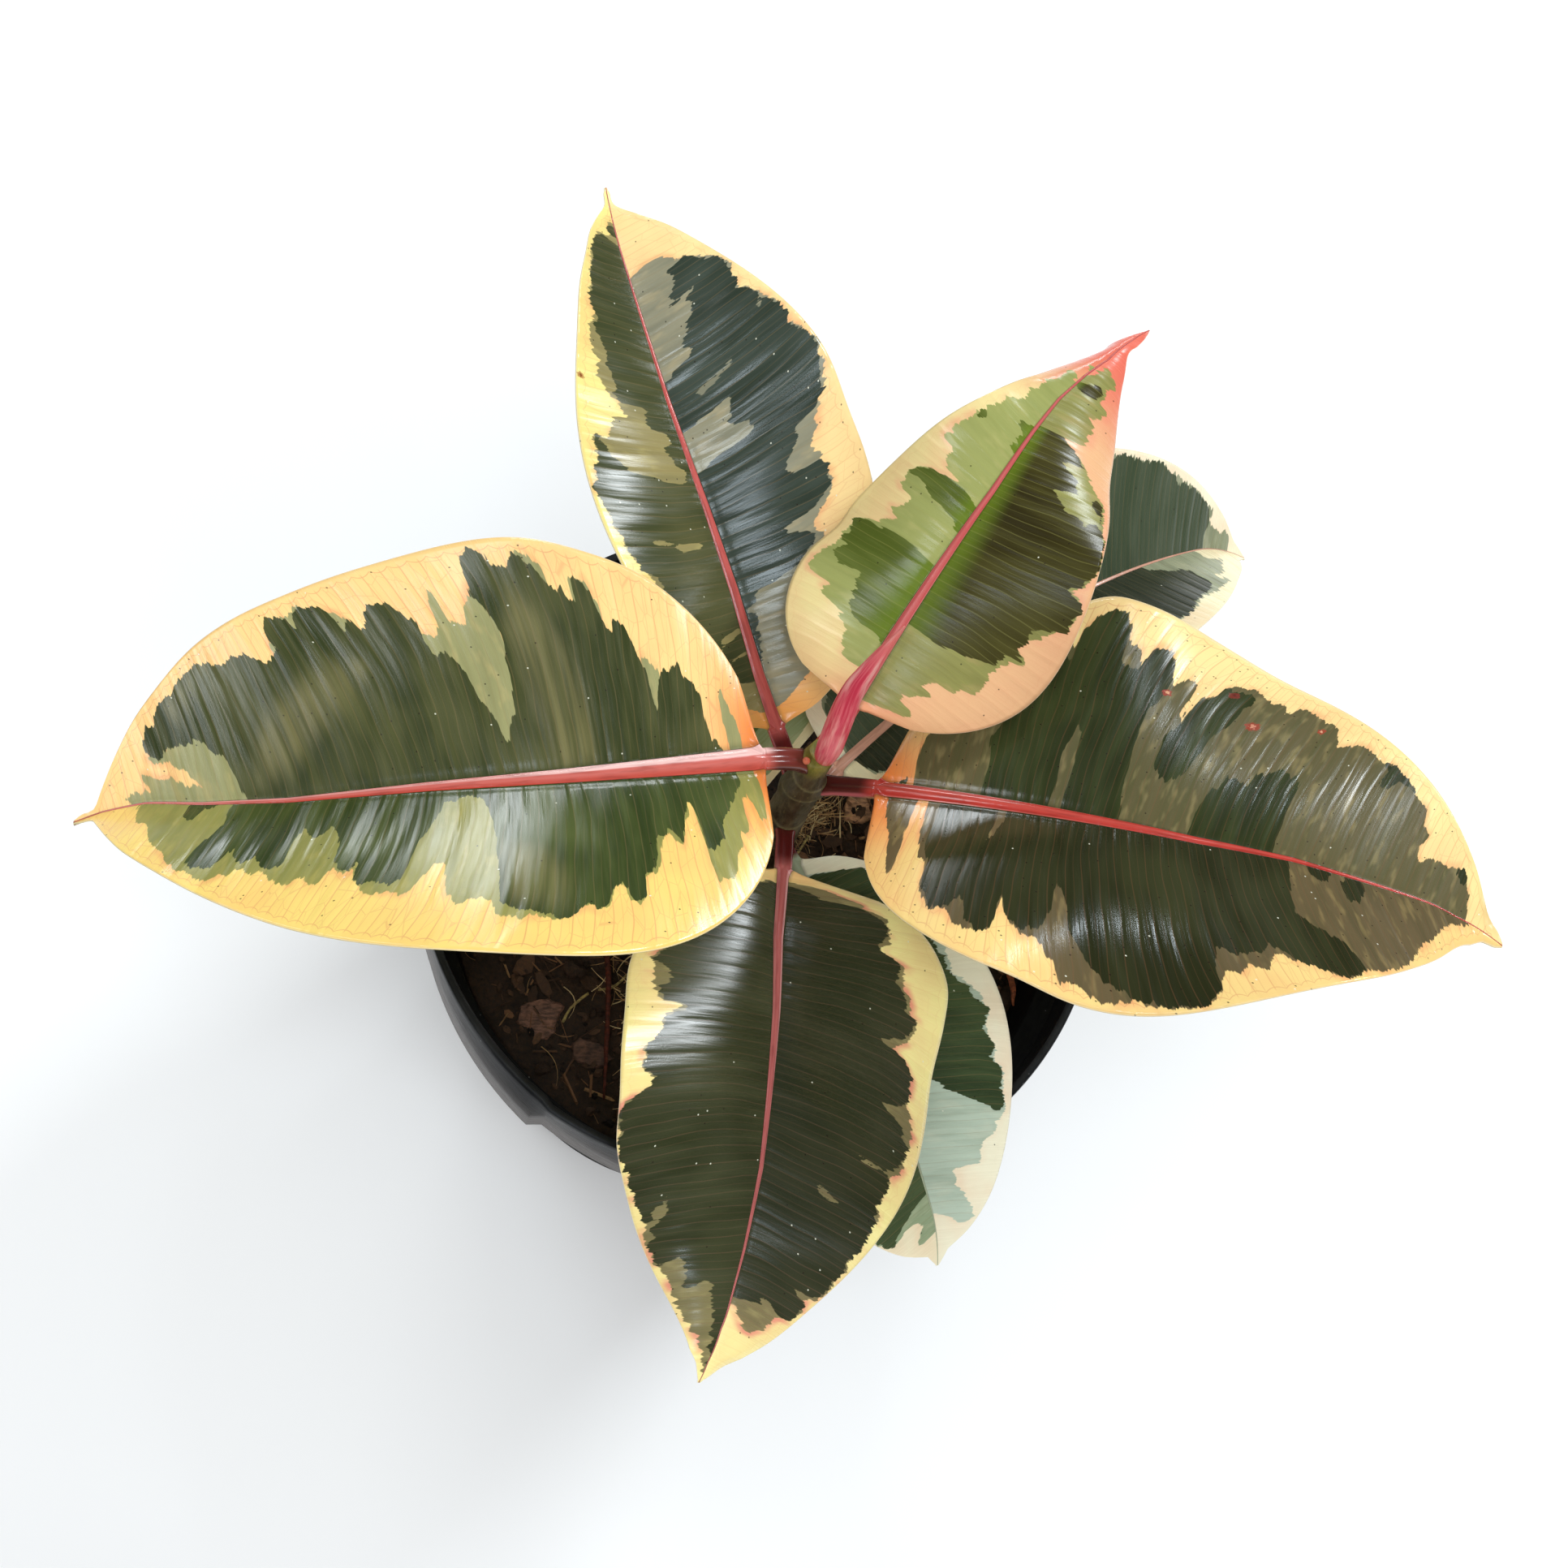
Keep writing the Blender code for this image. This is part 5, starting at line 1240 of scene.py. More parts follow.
def lathe(name, profile, steps):
    """Draw a profile of (radius, height) points by extruding one vertex, and spin it round Z."""
    deselect_all()
    bpy.ops.mesh.primitive_plane_add(size=0.01)
    obj = new_piece(name)
    edit_whole(obj)
    bpy.ops.mesh.merge(type="CENTER")
    bpy.ops.transform.translate(value=(profile[0][0], 0, profile[0][1]))
    for (radius, height), (next_radius, next_height) in zip(profile, profile[1:]):
        move = (next_radius - radius, 0, next_height - height)
        bpy.ops.mesh.extrude_region_move(TRANSFORM_OT_translate={"value": move})
    bpy.ops.mesh.select_all(action="SELECT")
    bpy.ops.mesh.spin(steps=steps, angle=math.tau, center=(0, 0, 0), axis=(0, 0, 1))
    bpy.ops.mesh.select_all(action="SELECT")
    bpy.ops.mesh.remove_doubles(threshold=0.000005)
    bpy.ops.mesh.normals_make_consistent(inside=False)
    bpy.ops.object.mode_set(mode="OBJECT")
    obj.data.shade_smooth()
    return obj


# %% Stem
STEM_TOP = 0.2325
STEM_FOOT = 0.105
RING_STEP = 0.0006
CUSHION = 0.0011
CUSHION_HEIGHT = 0.0036
CUSHION_SPREAD = 0.75
OLD_SCARS = (0.126, 0.138, 0.147)
OLD_SCAR_TURN = 2.4
RING_GAP = 0.0045
RING_TILT = 0.0016
RING_WIDTH = 0.0005
NODE_SWELL = 0.00025
CRACK_DEPTH = 0.00012
BARK_SHARE = 0.14
BARK_TOP = 0.216


def make_stem():
    heights = np.arange(STEM_TOP - 0.0004, STEM_FOOT, -RING_STEP)
    profile = [(0, STEM_TOP), (stem_radius(STEM_TOP) * 0.8, STEM_TOP - 0.0001)]
    for height in heights:
        bark = 1 + BARK_SHARE * min(max((BARK_TOP - height) / 0.008, 0), 1)
        profile.append((stem_radius(height) * bark, height))
    profile += [(0, STEM_FOOT)]
    obj = lathe("main_stem_bark", profile, 56)
    points = read_points(obj)
    radius = np.hypot(points[:, 0], points[:, 1])
    turn = np.arctan2(points[:, 1], points[:, 0])
    height = points[:, 2]
    grow = np.zeros(len(points))
    ring = np.zeros(len(points))
    joints = [(leaf.height, math.radians(leaf.heading)) for leaf in LEAVES.values()]
    joints += [(scar, OLD_SCAR_TURN * index) for index, scar in enumerate(OLD_SCARS)]
    for joint, heading in joints:
        away = np.abs((turn - heading + math.pi) % math.tau - math.pi)
        beside = np.exp(-(away / CUSHION_SPREAD) ** 2)
        level = np.exp(-((height - joint + 0.0008) / CUSHION_HEIGHT) ** 2)
        grow += CUSHION * beside * level + NODE_SWELL * level
        tilt = RING_TILT * np.cos(turn - heading)
        line = np.exp(-((height - joint - RING_GAP + tilt) / RING_WIDTH) ** 2)
        grow += CRACK_DEPTH * line
        ring = np.maximum(ring, line)
    inside = radius > 0.0005
    scale = np.where(inside, 1 + grow / np.maximum(radius, 0.0005), 1)
    points[:, :2] *= scale[:, None]
    write_points(obj, points)
    keep_with_points(obj.data, "ring_scar", ring)
    return obj


def stem_material():
    material, web, shader = new_material("stem_bark_surface")
    place = web.object_place()
    x, y, z = web.split(place)
    ring = web.stored("ring_scar", "Fac")
    streak = web.noise(web.stretch((x, 700), (y, 700), (z, 160)), 1.0, 3.0, 0.6)
    blotch = web.noise(place, 190, 2.0, 0.5)
    young = web.ramp(web.math("MULTIPLY_ADD", blotch, 0.010, z), 0.222, 0.234)
    green = web.mix(web.ramp(streak, 0.35, 0.70), tint(104, 100, 34), tint(136, 122, 50))
    brown = web.mix(web.ramp(streak, 0.35, 0.70), tint(60, 47, 30), tint(88, 73, 47))
    brown = web.mix(web.ramp(z, 0.12, 0.17, 0.5, 0.0), brown, tint(86, 66, 46))
    colour = web.mix(young, brown, green)
    lenticel = web.voronoi(web.stretch((x, 600), (y, 600), (z, 330)), 1.0)
    colour = web.mix(web.ramp(lenticel, 0.05, 0.16, 0.5, 0.0), colour, tint(150, 128, 84))
    colour = web.mix(web.times(ring, 0.30), colour, tint(168, 156, 108))
    finish_shader(web, shader, colour, web.ramp(streak, 0.3, 0.8, 0.36, 0.6), streak, 0.0003)
    return material


stem = make_stem()
finish_piece(stem, stem_material(), "stem_bark", "main_stem")

# %% [markdown]
# ## The growing point
# A rubber plant ends in a long red sheath, rolled round the next leaf. It stands beside the
# youngest leaf's stalk and leans over with it. It is a thin tapering spindle along a bent path, so a
# helper sweeps a ring along a path. As with the leaves, a grid is rolled up and closed.

# %% Sweep a ring along a path


def sweep(name, path, radii, sides):
    """A closed spindle: rings of the given radii across the path."""
    path = np.array(path, dtype=float)
    deselect_all()
    bpy.ops.mesh.primitive_grid_add(x_subdivisions=sides, y_subdivisions=len(path) - 1, size=1)
    obj = new_piece(name)
    forward = np.gradient(path, axis=0)
    forward /= np.linalg.norm(forward, axis=1)[:, None]
    side = np.cross(np.array([0.0, 0.0, 1.0]), forward)
    weak = np.linalg.norm(side, axis=1) < 0.05
    side[weak] = side[~weak][0] if (~weak).any() else (1.0, 0.0, 0.0)
    side /= np.linalg.norm(side, axis=1)[:, None]
    up = np.cross(forward, side)
    turn = np.linspace(0, math.tau, sides + 1)
    rows = []
    for place, wide, high, radius in zip(path, side, up, radii):
        rows.append(place + radius * (np.outer(np.cos(turn), wide) + np.outer(np.sin(turn), high)))
    write_points(obj, np.stack(rows).reshape(-1, 3))
    lengths = np.concatenate([[0], np.cumsum(np.linalg.norm(np.diff(path, axis=0), axis=1))])
    grid = [(distance, angle / math.tau, distance / lengths[-1]) for distance in lengths for angle in turn]
    keep_with_points(obj.data, "along", grid)
    close_tube(obj)
    return obj


# %% Bud sheath
BUD_FOOT = (0.0006, -0.0014, 0.2320)
BUD_LENGTH = 0.0450
BUD_RADIUS = 0.0033
BUD_HEADINGS = ((0.0, 78), (0.40, 74), (0.60, 52), (1.0, 47))
BUD_RISES = ((0.0, 90), (0.06, 84), (0.20, 58), (0.45, 56), (0.75, 45), (1.0, 44))
BUD_GIRTHS = ((0.0, 0.84), (0.12, 1.0), (0.35, 0.98), (0.55, 0.84), (0.78, 0.50), (0.92, 0.22), (1.0, 0.03))
BUD_STEPS = 72
SEAM_TURN = 0.55
SEAM_RAGGED = 0.05


def make_bud():
    place = np.array(BUD_FOOT)
    path, radii = [place], [BUD_RADIUS * BUD_GIRTHS[0][1]]
    for index in range(BUD_STEPS):
        share = (index + 0.5) / BUD_STEPS
        rise = math.radians(along_stations(BUD_RISES, share))
        heading = math.radians(along_stations(BUD_HEADINGS, share))
        place = place + direction(rise, heading) * BUD_LENGTH / BUD_STEPS
        path.append(place)
        radii.append(BUD_RADIUS * along_stations(BUD_GIRTHS, (index + 1) / BUD_STEPS))
    return sweep("bud_sheath_skin", path, radii, 40)


def bud_material():
    material, web, shader = new_material("bud_sheath_surface")
    distance, turn, share = web.split(web.stored("along"))
    streak = web.noise(web.stretch((distance, 60), (turn, 26), 0.0), 1.0, 3.0, 0.6)
    red = web.mix(web.ramp(streak, 0.35, 0.70), tint(190, 44, 68), tint(222, 100, 112))
    colour = web.mix(web.ramp(share, 0.60, 1.0, 0.0, 0.7), red, tint(214, 120, 104))
    colour = web.mix(web.ramp(share, 0.0, 0.08, 0.6, 0.0), colour, tint(206, 92, 62))
    bloom = web.noise(web.stretch((distance, 70), (turn, 6), 2.0), 1.0, 3.0, 0.6)
    colour = web.mix(web.ramp(bloom, 0.42, 0.68, 0.0, 0.75), colour, tint(232, 172, 162))
    ragged = web.math("MULTIPLY_ADD", streak, SEAM_RAGGED, turn)
    seam = web.math("ABSOLUTE", web.math("SUBTRACT", ragged, SEAM_TURN + SEAM_RAGGED / 2))
    colour = web.mix(web.ramp(seam, 0.004, 0.010, 0.85, 0.0), colour, tint(232, 212, 196))
    finish_shader(web, shader, colour, web.ramp(bloom, 0.3, 0.7, 0.34, 0.55), streak, 0.0002, 0.6)
    return material


bud = make_bud()
finish_piece(bud, bud_material(), "bud_sheath", "bud_sheath")

# %% [markdown]
# The small side bud above the west leaf's stalk is an egg-shaped scale with a pointed end. A sphere
# drawn out at one pole gives that.

# %% Side bud
SIDE_BUD_POINT = 0.35


def make_side_bud():
    low, high = (Vector(corner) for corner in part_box("side_bud"))
    deselect_all()
    bpy.ops.mesh.primitive_uv_sphere_add(segments=24, ring_count=16, radius=0.5, location=(low + high) / 2)
    obj = new_piece("side_bud_scale")
    obj.scale = [extent * 0.98 for extent in (high - low)]
    settle(obj)
    points = read_points(obj)
    middle = np.array((low + high) / 2)
    lift = (points[:, 2] - middle[2]) / (high.z - low.z)
    pinch = 1 - SIDE_BUD_POINT * np.clip(lift * 2, 0, 1) ** 2
    points[:, :2] = middle[:2] + (points[:, :2] - middle[:2]) * pinch[:, None]
    write_points(obj, points)
    obj.data.shade_smooth()
    return obj


def side_bud_material():
    material, web, shader = new_material("side_bud_surface")
    place = web.object_place()
    grain = web.noise(place, 1800, 3.0, 0.6)
    colour = web.mix(grain, tint(150, 60, 40), tint(222, 120, 84))
    finish_shader(web, shader, colour, web.ramp(grain, 0.3, 0.7, 0.35, 0.55))
    return material


side_bud = make_side_bud()
finish_piece(side_bud, side_bud_material(), "side_bud", "side_bud")

# %% [markdown]
# ## The pot
# A nursery pot is one thin moulded cup: a tapered body, a deep turned-out lip with rounded edges,
# and drain holes in the base. The whole wall is one profile, spun in fine steps so that its outline
# is round. One stretch of the lip is pressed flatter, up to the mould's parting line, and catches
# the light there.

# %% Pot
pot_high = Vector(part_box("nursery_pot")[1])
POT_HEIGHT = pot_high.z
RIM_RADIUS = pot_high.x
BASE_RADIUS = 0.064
WALL = 0.0016
FLOOR = 0.002
LIP_HEIGHT = 0.019
LIP_WALL = 0.0024
LIP_TAPER = 0.0006
EDGE = 0.0006
DRAIN_RING = 0.042
DRAIN_RADIUS = 0.0045
DRAIN_COUNT = 6
POT_STEPS = 192
PART_LINE = math.radians(-128.5)
FLAT_START = math.radians(-160)
FLAT_DEPTH = 0.0085
FLAT_INSET = 0.0010
FLARE = 0.0028
DENT_SPAN = math.radians(20)
DENT_END = math.radians(-80)
DENT_INSET = 0.0024


def body_radius(height):
    top = RIM_RADIUS - LIP_WALL - LIP_TAPER
    return BASE_RADIUS + (top - BASE_RADIUS) * height / POT_HEIGHT


def pot_profile():
    foot = POT_HEIGHT - LIP_HEIGHT
    inner_top = RIM_RADIUS - LIP_WALL
    profile = [(0, FLOOR), (body_radius(FLOOR) - 2 * WALL, FLOOR),
               (body_radius(FLOOR + WALL) - WALL, FLOOR + WALL)]
    profile += [(body_radius(height) - WALL, height) for height in np.linspace(0.02, foot - 0.001, 6)]
    profile += [(inner_top - LIP_TAPER, foot + WALL), (inner_top, POT_HEIGHT - EDGE),
                (inner_top + EDGE * 0.3, POT_HEIGHT - EDGE * 0.3), (inner_top + EDGE, POT_HEIGHT),
                (RIM_RADIUS - EDGE, POT_HEIGHT), (RIM_RADIUS - EDGE * 0.3, POT_HEIGHT - EDGE * 0.3),
                (RIM_RADIUS, POT_HEIGHT - EDGE)]
    profile += [(RIM_RADIUS - LIP_TAPER * depth / LIP_HEIGHT, POT_HEIGHT - depth)
                for depth in (0.0016, 0.0030, 0.0050, 0.0070, 0.0085, 0.0100, 0.0140)]
    profile += [(RIM_RADIUS - LIP_TAPER, foot + 0.0004), (RIM_RADIUS - LIP_TAPER - 0.0005, foot),
                (RIM_RADIUS - LIP_WALL, foot), (body_radius(foot - EDGE), foot - EDGE)]
    profile += [(body_radius(height), height) for height in np.linspace(foot - 0.01, 0.006, 7)]
    profile += [(body_radius(0.0016), 0.0016), (BASE_RADIUS - 0.0004, 0.0004), (BASE_RADIUS - 0.0014, 0),
                (BASE_RADIUS - 0.008, 0.0), (BASE_RADIUS - 0.009, 0.0004), (0, 0.0004)]
    return profile


def make_pot():
    obj = lathe("nursery_pot_shell", pot_profile(), POT_STEPS)
    points = read_points(obj)
    radius = np.hypot(points[:, 0], points[:, 1])
    turn = np.arctan2(points[:, 1], points[:, 0])
    depth = POT_HEIGHT - points[:, 2]
    flat = np.clip((turn - FLAT_START) / (PART_LINE - FLAT_START), 0, 1) * (turn < PART_LINE)
    dent = np.clip((turn - PART_LINE) / DENT_SPAN, 0, 1) * np.clip((DENT_END - turn) / DENT_SPAN, 0, 1)
    near_top = np.clip(1 - depth / FLAT_DEPTH, 0, 1) * (radius > RIM_RADIUS - LIP_WALL - 0.0015)
    flared = np.clip(depth / 0.007, 0, 1) * (radius > RIM_RADIUS - 0.0018) * (depth < LIP_HEIGHT + 0.0002)
    change = FLARE * flat * flared - (FLAT_INSET * flat + DENT_INSET * dent) * near_top
    moved = 1 + change / np.maximum(radius, 0.001)
    points[:, :2] *= moved[:, None]
    write_points(obj, points)
    for index in range(DRAIN_COUNT):
        angle = math.tau * (index + 0.5) / DRAIN_COUNT
        deselect_all()
        bpy.ops.mesh.primitive_cylinder_add(
            vertices=32, radius=DRAIN_RADIUS, depth=0.01,
            location=(DRAIN_RING * math.cos(angle), DRAIN_RING * math.sin(angle), 0))
        cutter = bpy.context.object
        make_active(obj)
        cut = obj.modifiers.new("Drain hole", "BOOLEAN")
        cut.operation = "DIFFERENCE"
        cut.object = cutter
        bpy.ops.object.modifier_apply(modifier=cut.name)
        bpy.data.objects.remove(cutter)
    make_active(obj)
    bpy.ops.object.shade_smooth_by_angle(angle=math.radians(32))
    return obj


def pot_material():
    material, web, shader = new_material("pot_plastic_surface")
    place = web.object_place()
    x, y, z = web.split(place)
    radius = web.length(x, y)
    dust = web.noise(place, 60, 4.0, 0.65)
    scuff = web.noise(web.stretch((x, 240), (y, 240), (z, 1500)), 1.0, 3.0, 0.7)
    outer = web.ramp(radius, 0.0930, 0.0942)
    # A painted reflection: warm brownish grey on the lower outer face of the lip.
    lip_low_reflection = web.times(web.ramp(z, 0.1360, 0.1485, 1.0, 0.0), outer)
    colour = web.mix(web.ramp(dust, 0.35, 0.75), tint(18, 19, 21), tint(34, 34, 36))
    colour = web.mix(web.times(lip_low_reflection, 0.7), colour, tint(82, 72, 66))
    # Painted shade: the inner wall just below the rim is darkened to near black.
    inside = web.times(web.ramp(z, 0.1440, 0.1496, 1.0, 0.0), web.ramp(radius, 0.0930, 0.0922))
    colour = web.mix(inside, colour, tint(8, 7, 7))
    chip = web.voronoi(place, 420)
    specks = web.times(web.ramp(chip, 0.05, 0.10, 1.0, 0.0), web.ramp(dust, 0.52, 0.60))
    colour = web.mix(web.times(specks, 0.7), colour, tint(150, 150, 150))
    gloss = web.math("MULTIPLY_ADD", web.ramp(scuff, 0.3, 0.8), 0.14, 0.34)
    roughness = web.math("MULTIPLY_ADD", inside, 0.40, gloss)
    finish_shader(web, shader, colour, roughness, scuff, 0.0002, 0.35)
    shader.inputs["Specular IOR Level"].default_value = 0.3
    return material


pot = make_pot()
finish_piece(pot, pot_material(), "pot_plastic", "nursery_pot")

# %% [markdown]
# ## The potting mix
# The mix is dark peat with composted bark and coir. Its surface is uneven, and it is made of small
# separate things, so one rough bed carries well over a thousand crumbs, flakes, splinters and
# fibres. Each kind is modelled once, from a primitive with few faces, and its copies are turned,
# stretched and roughened at random from a fixed seed, then kept together in one mesh per kind.

# %% Bed of mix
SOIL_TOP = 0.115
SOIL_RADIUS = body_radius(SOIL_TOP) - WALL - 0.0003
BED_RING = 0.0013


def soil_height(x, y):
    """Height of the uneven surface."""
    rough = noise.fractal((x * 55, y * 55, 0.3), 1.0, 2.1, 4)
    lumps = noise.fractal((x * 240, y * 240, 4.0), 0.9, 2.2, 3)
    return SOIL_TOP + 0.0016 * rough + 0.0011 * lumps


def make_bed():
    rings = np.arange(SOIL_RADIUS - 0.0002, 0.001, -BED_RING)
    foot = 0.0023
    profile = [(0, SOIL_TOP)] + [(radius, SOIL_TOP) for radius in rings[::-1]]
    profile += [(SOIL_RADIUS, SOIL_TOP - 0.002)]
    profile += [(body_radius(height) - WALL - 0.0003, height) for height in (0.08, 0.04, foot + 0.002)]
    profile += [(body_radius(foot) - 3 * WALL, foot), (0, foot)]
    obj = lathe("potting_mix_bed", profile, 160)
    points = read_points(obj)
    for index in np.flatnonzero(points[:, 2] > SOIL_TOP - 0.0001):
        points[index, 2] = soil_height(points[index, 0], points[index, 1])
    write_points(obj, points)
    return obj


# %% [markdown]
# Everything on the mix shares one range of colours, from black peat through red-brown bark to pale
# straw, so it is one node group. Its Tone input comes from each copy's own value.

# %% Earth colours


def make_earth_tones():
    group, web, start, end = new_group(
        "earth_tones", [("Tone", "value"), ("Place", "vector")],
        [("Colour", "colour"), ("Height", "value"), ("Shine", "value")])
    grain = web.noise(start["Place"], 900, 4.0, 0.7)
    mixed = web.math("MULTIPLY_ADD", web.math("SUBTRACT", grain, 0.5), 0.40, start["Tone"])
    colour = web.mix(web.ramp(mixed, 0.05, 0.32), tint(26, 18, 12), tint(74, 52, 36))
    colour = web.mix(web.ramp(mixed, 0.32, 0.58), colour, tint(128, 90, 60))
    colour = web.mix(web.ramp(mixed, 0.58, 0.80), colour, tint(176, 138, 90))
    colour = web.mix(web.ramp(mixed, 0.80, 1.05), colour, tint(226, 200, 148))
    web.put(end.inputs["Colour"], colour)
    web.put(end.inputs["Height"], grain)
    web.put(end.inputs["Shine"], web.ramp(grain, 0.3, 0.8, 0.75, 0.95))
    return group


earth_tones = make_earth_tones()


def earth_material(name, tone, attribute=None, relief=0.0005):
    """A finish from the earth colours; the tone comes from a value or from the mesh."""
    material, web, shader = new_material(name)
    place = web.object_place()
    broad = web.noise(place, 70, 3.0, 0.6)
    if attribute:
        tone = web.math("ADD", web.stored(attribute, "Fac"), tone)
    shifted = web.math("MULTIPLY_ADD", web.math("SUBTRACT", broad, 0.5), 0.30, tone)
    earth = web.group(earth_tones, {"Tone": shifted, "Place": place})
    finish_shader(web, shader, earth["Colour"], earth["Shine"], earth["Height"], relief)
    return material


bed = make_bed()
finish_piece(bed, earth_material("potting_mix_surface", 0.16), "potting_mix", "potting_mix")

# %% Strewn crumbs
STEM_CLEARANCE = 0.0065


def primitive_shape(squeeze, add, **sizes):
    """Points and faces of a primitive with few faces, scaled to about one unit."""
    deselect_all()
    add(**sizes)
    obj = new_piece("pattern")
    points = read_points(obj) * np.array(squeeze)
    faces = [tuple(face.vertices) for face in obj.data.polygons]
    bpy.data.objects.remove(obj)
    return points, faces


def random_turn(rng, tilt):
    """A random turn about Z and a lean of up to tilt radians."""
    turn = Matrix.Rotation(rng.uniform(0, math.tau), 3, "Z")
    lean = Matrix.Rotation(rng.normal(0, tilt), 3, "X") @ Matrix.Rotation(rng.normal(0, tilt), 3, "Y")
    return np.array(turn @ lean)


def strew(name, pattern, count, seed, sizes, shape_range, tilt, lift, tones, ragged, places=None):
    """Copies of one pattern on the bed, each with its own size, turn, place and tone, in one mesh."""
    rng = np.random.default_rng(seed)
    points, faces = pattern
    all_points, all_faces, all_tones = [], [], []
    for index in range(count):
        if places is None:
            reach = (SOIL_RADIUS - 0.003) * math.sqrt(rng.uniform((STEM_CLEARANCE / SOIL_RADIUS) ** 2, 1))
            angle = rng.uniform(0, math.tau)
            x, y = reach * math.cos(angle), reach * math.sin(angle)
        else:
            x0, y0, spread = places[index % len(places)]
            x, y = x0 + rng.normal(0, spread), y0 + rng.normal(0, spread)
        size = sizes[0] * (sizes[1] / sizes[0]) ** (rng.uniform() ** 1.6)
        stretch = np.array([1, rng.uniform(*shape_range), rng.uniform(*shape_range)])
        lumpy = 1 + rng.normal(0, ragged, (len(points), 1))
        copy = (points * stretch * lumpy * size) @ random_turn(rng, tilt).T
        copy += np.array([x, y, soil_height(x, y) + lift * size])
        reach = np.hypot(copy[:, 0], copy[:, 1])
        copy[:, :2] *= np.minimum(1, (SOIL_RADIUS - 0.0004) / np.maximum(reach, 0.001))[:, None]
        start = len(points) * index
        all_points.append(copy)
        all_faces += [tuple(corner + start for corner in face) for face in faces]
        all_tones += [rng.uniform(*tones)] * len(points)
    mesh = bpy.data.meshes.new(name)
    mesh.from_pydata(np.concatenate(all_points).tolist(), [], all_faces)
    keep_with_points(mesh, "tone", all_tones)
    return add_to_scene(name, mesh)


cylinder = bpy.ops.mesh.primitive_cylinder_add
crumb = primitive_shape((1, 1, 0.7), bpy.ops.mesh.primitive_ico_sphere_add, subdivisions=1, radius=0.5)
flake = primitive_shape((1, 0.7, 0.12), cylinder, vertices=7, radius=0.5, depth=1)
splinter = primitive_shape((0.14, 0.10, 1.0), cylinder, vertices=5, radius=0.5, depth=1)
splinter = (splinter[0] @ np.array(Matrix.Rotation(math.pi / 2, 3, "Y")).T, splinter[1])

for name, pattern, count, seed, sizes, shape_range, tilt, lift, tones, ragged in (
    ("peat_crumbs", crumb, 2200, 3, (0.0008, 0.0036), (0.6, 1.0), 0.6, 0.12, (0.02, 0.42), 0.16),
    ("bark_flakes", flake, 260, 5, (0.0028, 0.0085), (0.5, 1.0), 0.22, 0.10, (0.12, 0.56), 0.10),
    ("wood_splinters", splinter, 520, 7, (0.0025, 0.0100), (0.5, 1.3), 0.16, 0.09, (0.15, 0.70), 0.10),
):
    piece = strew(name, pattern, count, seed, sizes, shape_range, tilt, lift, tones, ragged)
    finish_piece(piece, earth_material(name + "_surface", 0.0, "tone"), "potting_mix")

# %% [markdown]
# Coir shows as tufts of fine tan fibres, thick beside the stem. A fibre is a curved three-sided
# thread. Fibres are far too many to model by hand, so one bent pattern is strewn like the crumbs.

# %% Coir tufts
FIBRE_RINGS = 7
FIBRE_RADIUS = 0.022


def fibre_pattern(bend):
    """A three-sided thread one unit long, bent sideways."""
    points, faces = [], []
    for ring in range(FIBRE_RINGS):
        share = ring / (FIBRE_RINGS - 1)
        radius = FIBRE_RADIUS * (1 - 0.7 * share)
        centre = np.array([share - 0.5, bend * share * (1 - share) * 4, 0.10 * math.sin(math.pi * share)])
        for corner in range(3):
            angle = math.tau * corner / 3
            points.append(centre + radius * np.array([0, math.cos(angle), math.sin(angle)]))
    for ring in range(FIBRE_RINGS - 1):
        for corner in range(3):
            after = (corner + 1) % 3
            faces.append((ring * 3 + corner, ring * 3 + after, ring * 3 + 3 + after, ring * 3 + 3 + corner))
    faces.append((2, 1, 0))
    last = (FIBRE_RINGS - 1) * 3
    faces.append((last, last + 1, last + 2))
    return np.array(points), faces


TUFTS = [(0.0115, 0.0040, 0.0030), (0.0150, 0.0170, 0.0030), (0.0200, 0.0200, 0.0030),
         (0.0240, 0.0240, 0.0030), (0.0180, 0.0240, 0.0030), (-0.0330, -0.0250, 0.0060),
         (-0.0270, -0.0380, 0.0060)]
for index, (count, bend, places) in enumerate(((170, 0.10, TUFTS), (130, -0.16, TUFTS), (120, 0.2, None))):
    name = f"coir_tufts_{index + 1}"
    piece = strew(name, fibre_pattern(bend), count, 20 + index, (0.0050, 0.0130), (0.7, 1.3), 0.25, 0.10,
                  (0.62, 1.05), 0.0, places)
    finish_piece(piece, earth_material(name + "_surface", 0.0, "tone", 0.0001), "coir")

# %% [markdown]
# The larger loose things are solids of the frame already: bark chips, lumps of peat, coir fibres
# and two dried sheaths that the stem has shed. A copy of each is cleaned, subdivided and roughened
# by noise, so that its outline is torn instead of cut.

# %% Roughened copies
NOISE_SEED = 4
noise.seed_set(NOISE_SEED)  # without a seed, noise_vector starts from the clock


def roughened(node, name, cuts, broad, fine, flatten=0.5):
    """A copy of a node's mesh with more faces, pushed about by noise."""
    deselect_all()
    obj = add_to_scene(name, bpy.data.objects[node].data.copy())
    edit_whole(obj)
    bpy.ops.mesh.remove_doubles(threshold=0.00001)
    bpy.ops.mesh.tris_convert_to_quads()
    bpy.ops.mesh.subdivide(number_cuts=cuts)
    bpy.ops.mesh.quads_convert_to_tris()
    bpy.ops.object.mode_set(mode="OBJECT")
    points = read_points(obj)
    for index, point in enumerate(points):
        wide = np.array(noise.noise_vector(Vector(point) * 260))
        close = np.array(noise.noise_vector(Vector(point) * 1100))
        points[index] = point + (wide * broad + close * fine) * np.array([1, 1, flatten])
    write_points(obj, points)
    obj.data.shade_smooth()
    return obj


CHIP_TONES = {"bark_chip_1": (138, 98, 78), "bark_chip_2": (104, 74, 58), "bark_chip_3": (190, 140, 102),
              "bark_chip_4": (96, 58, 34)}


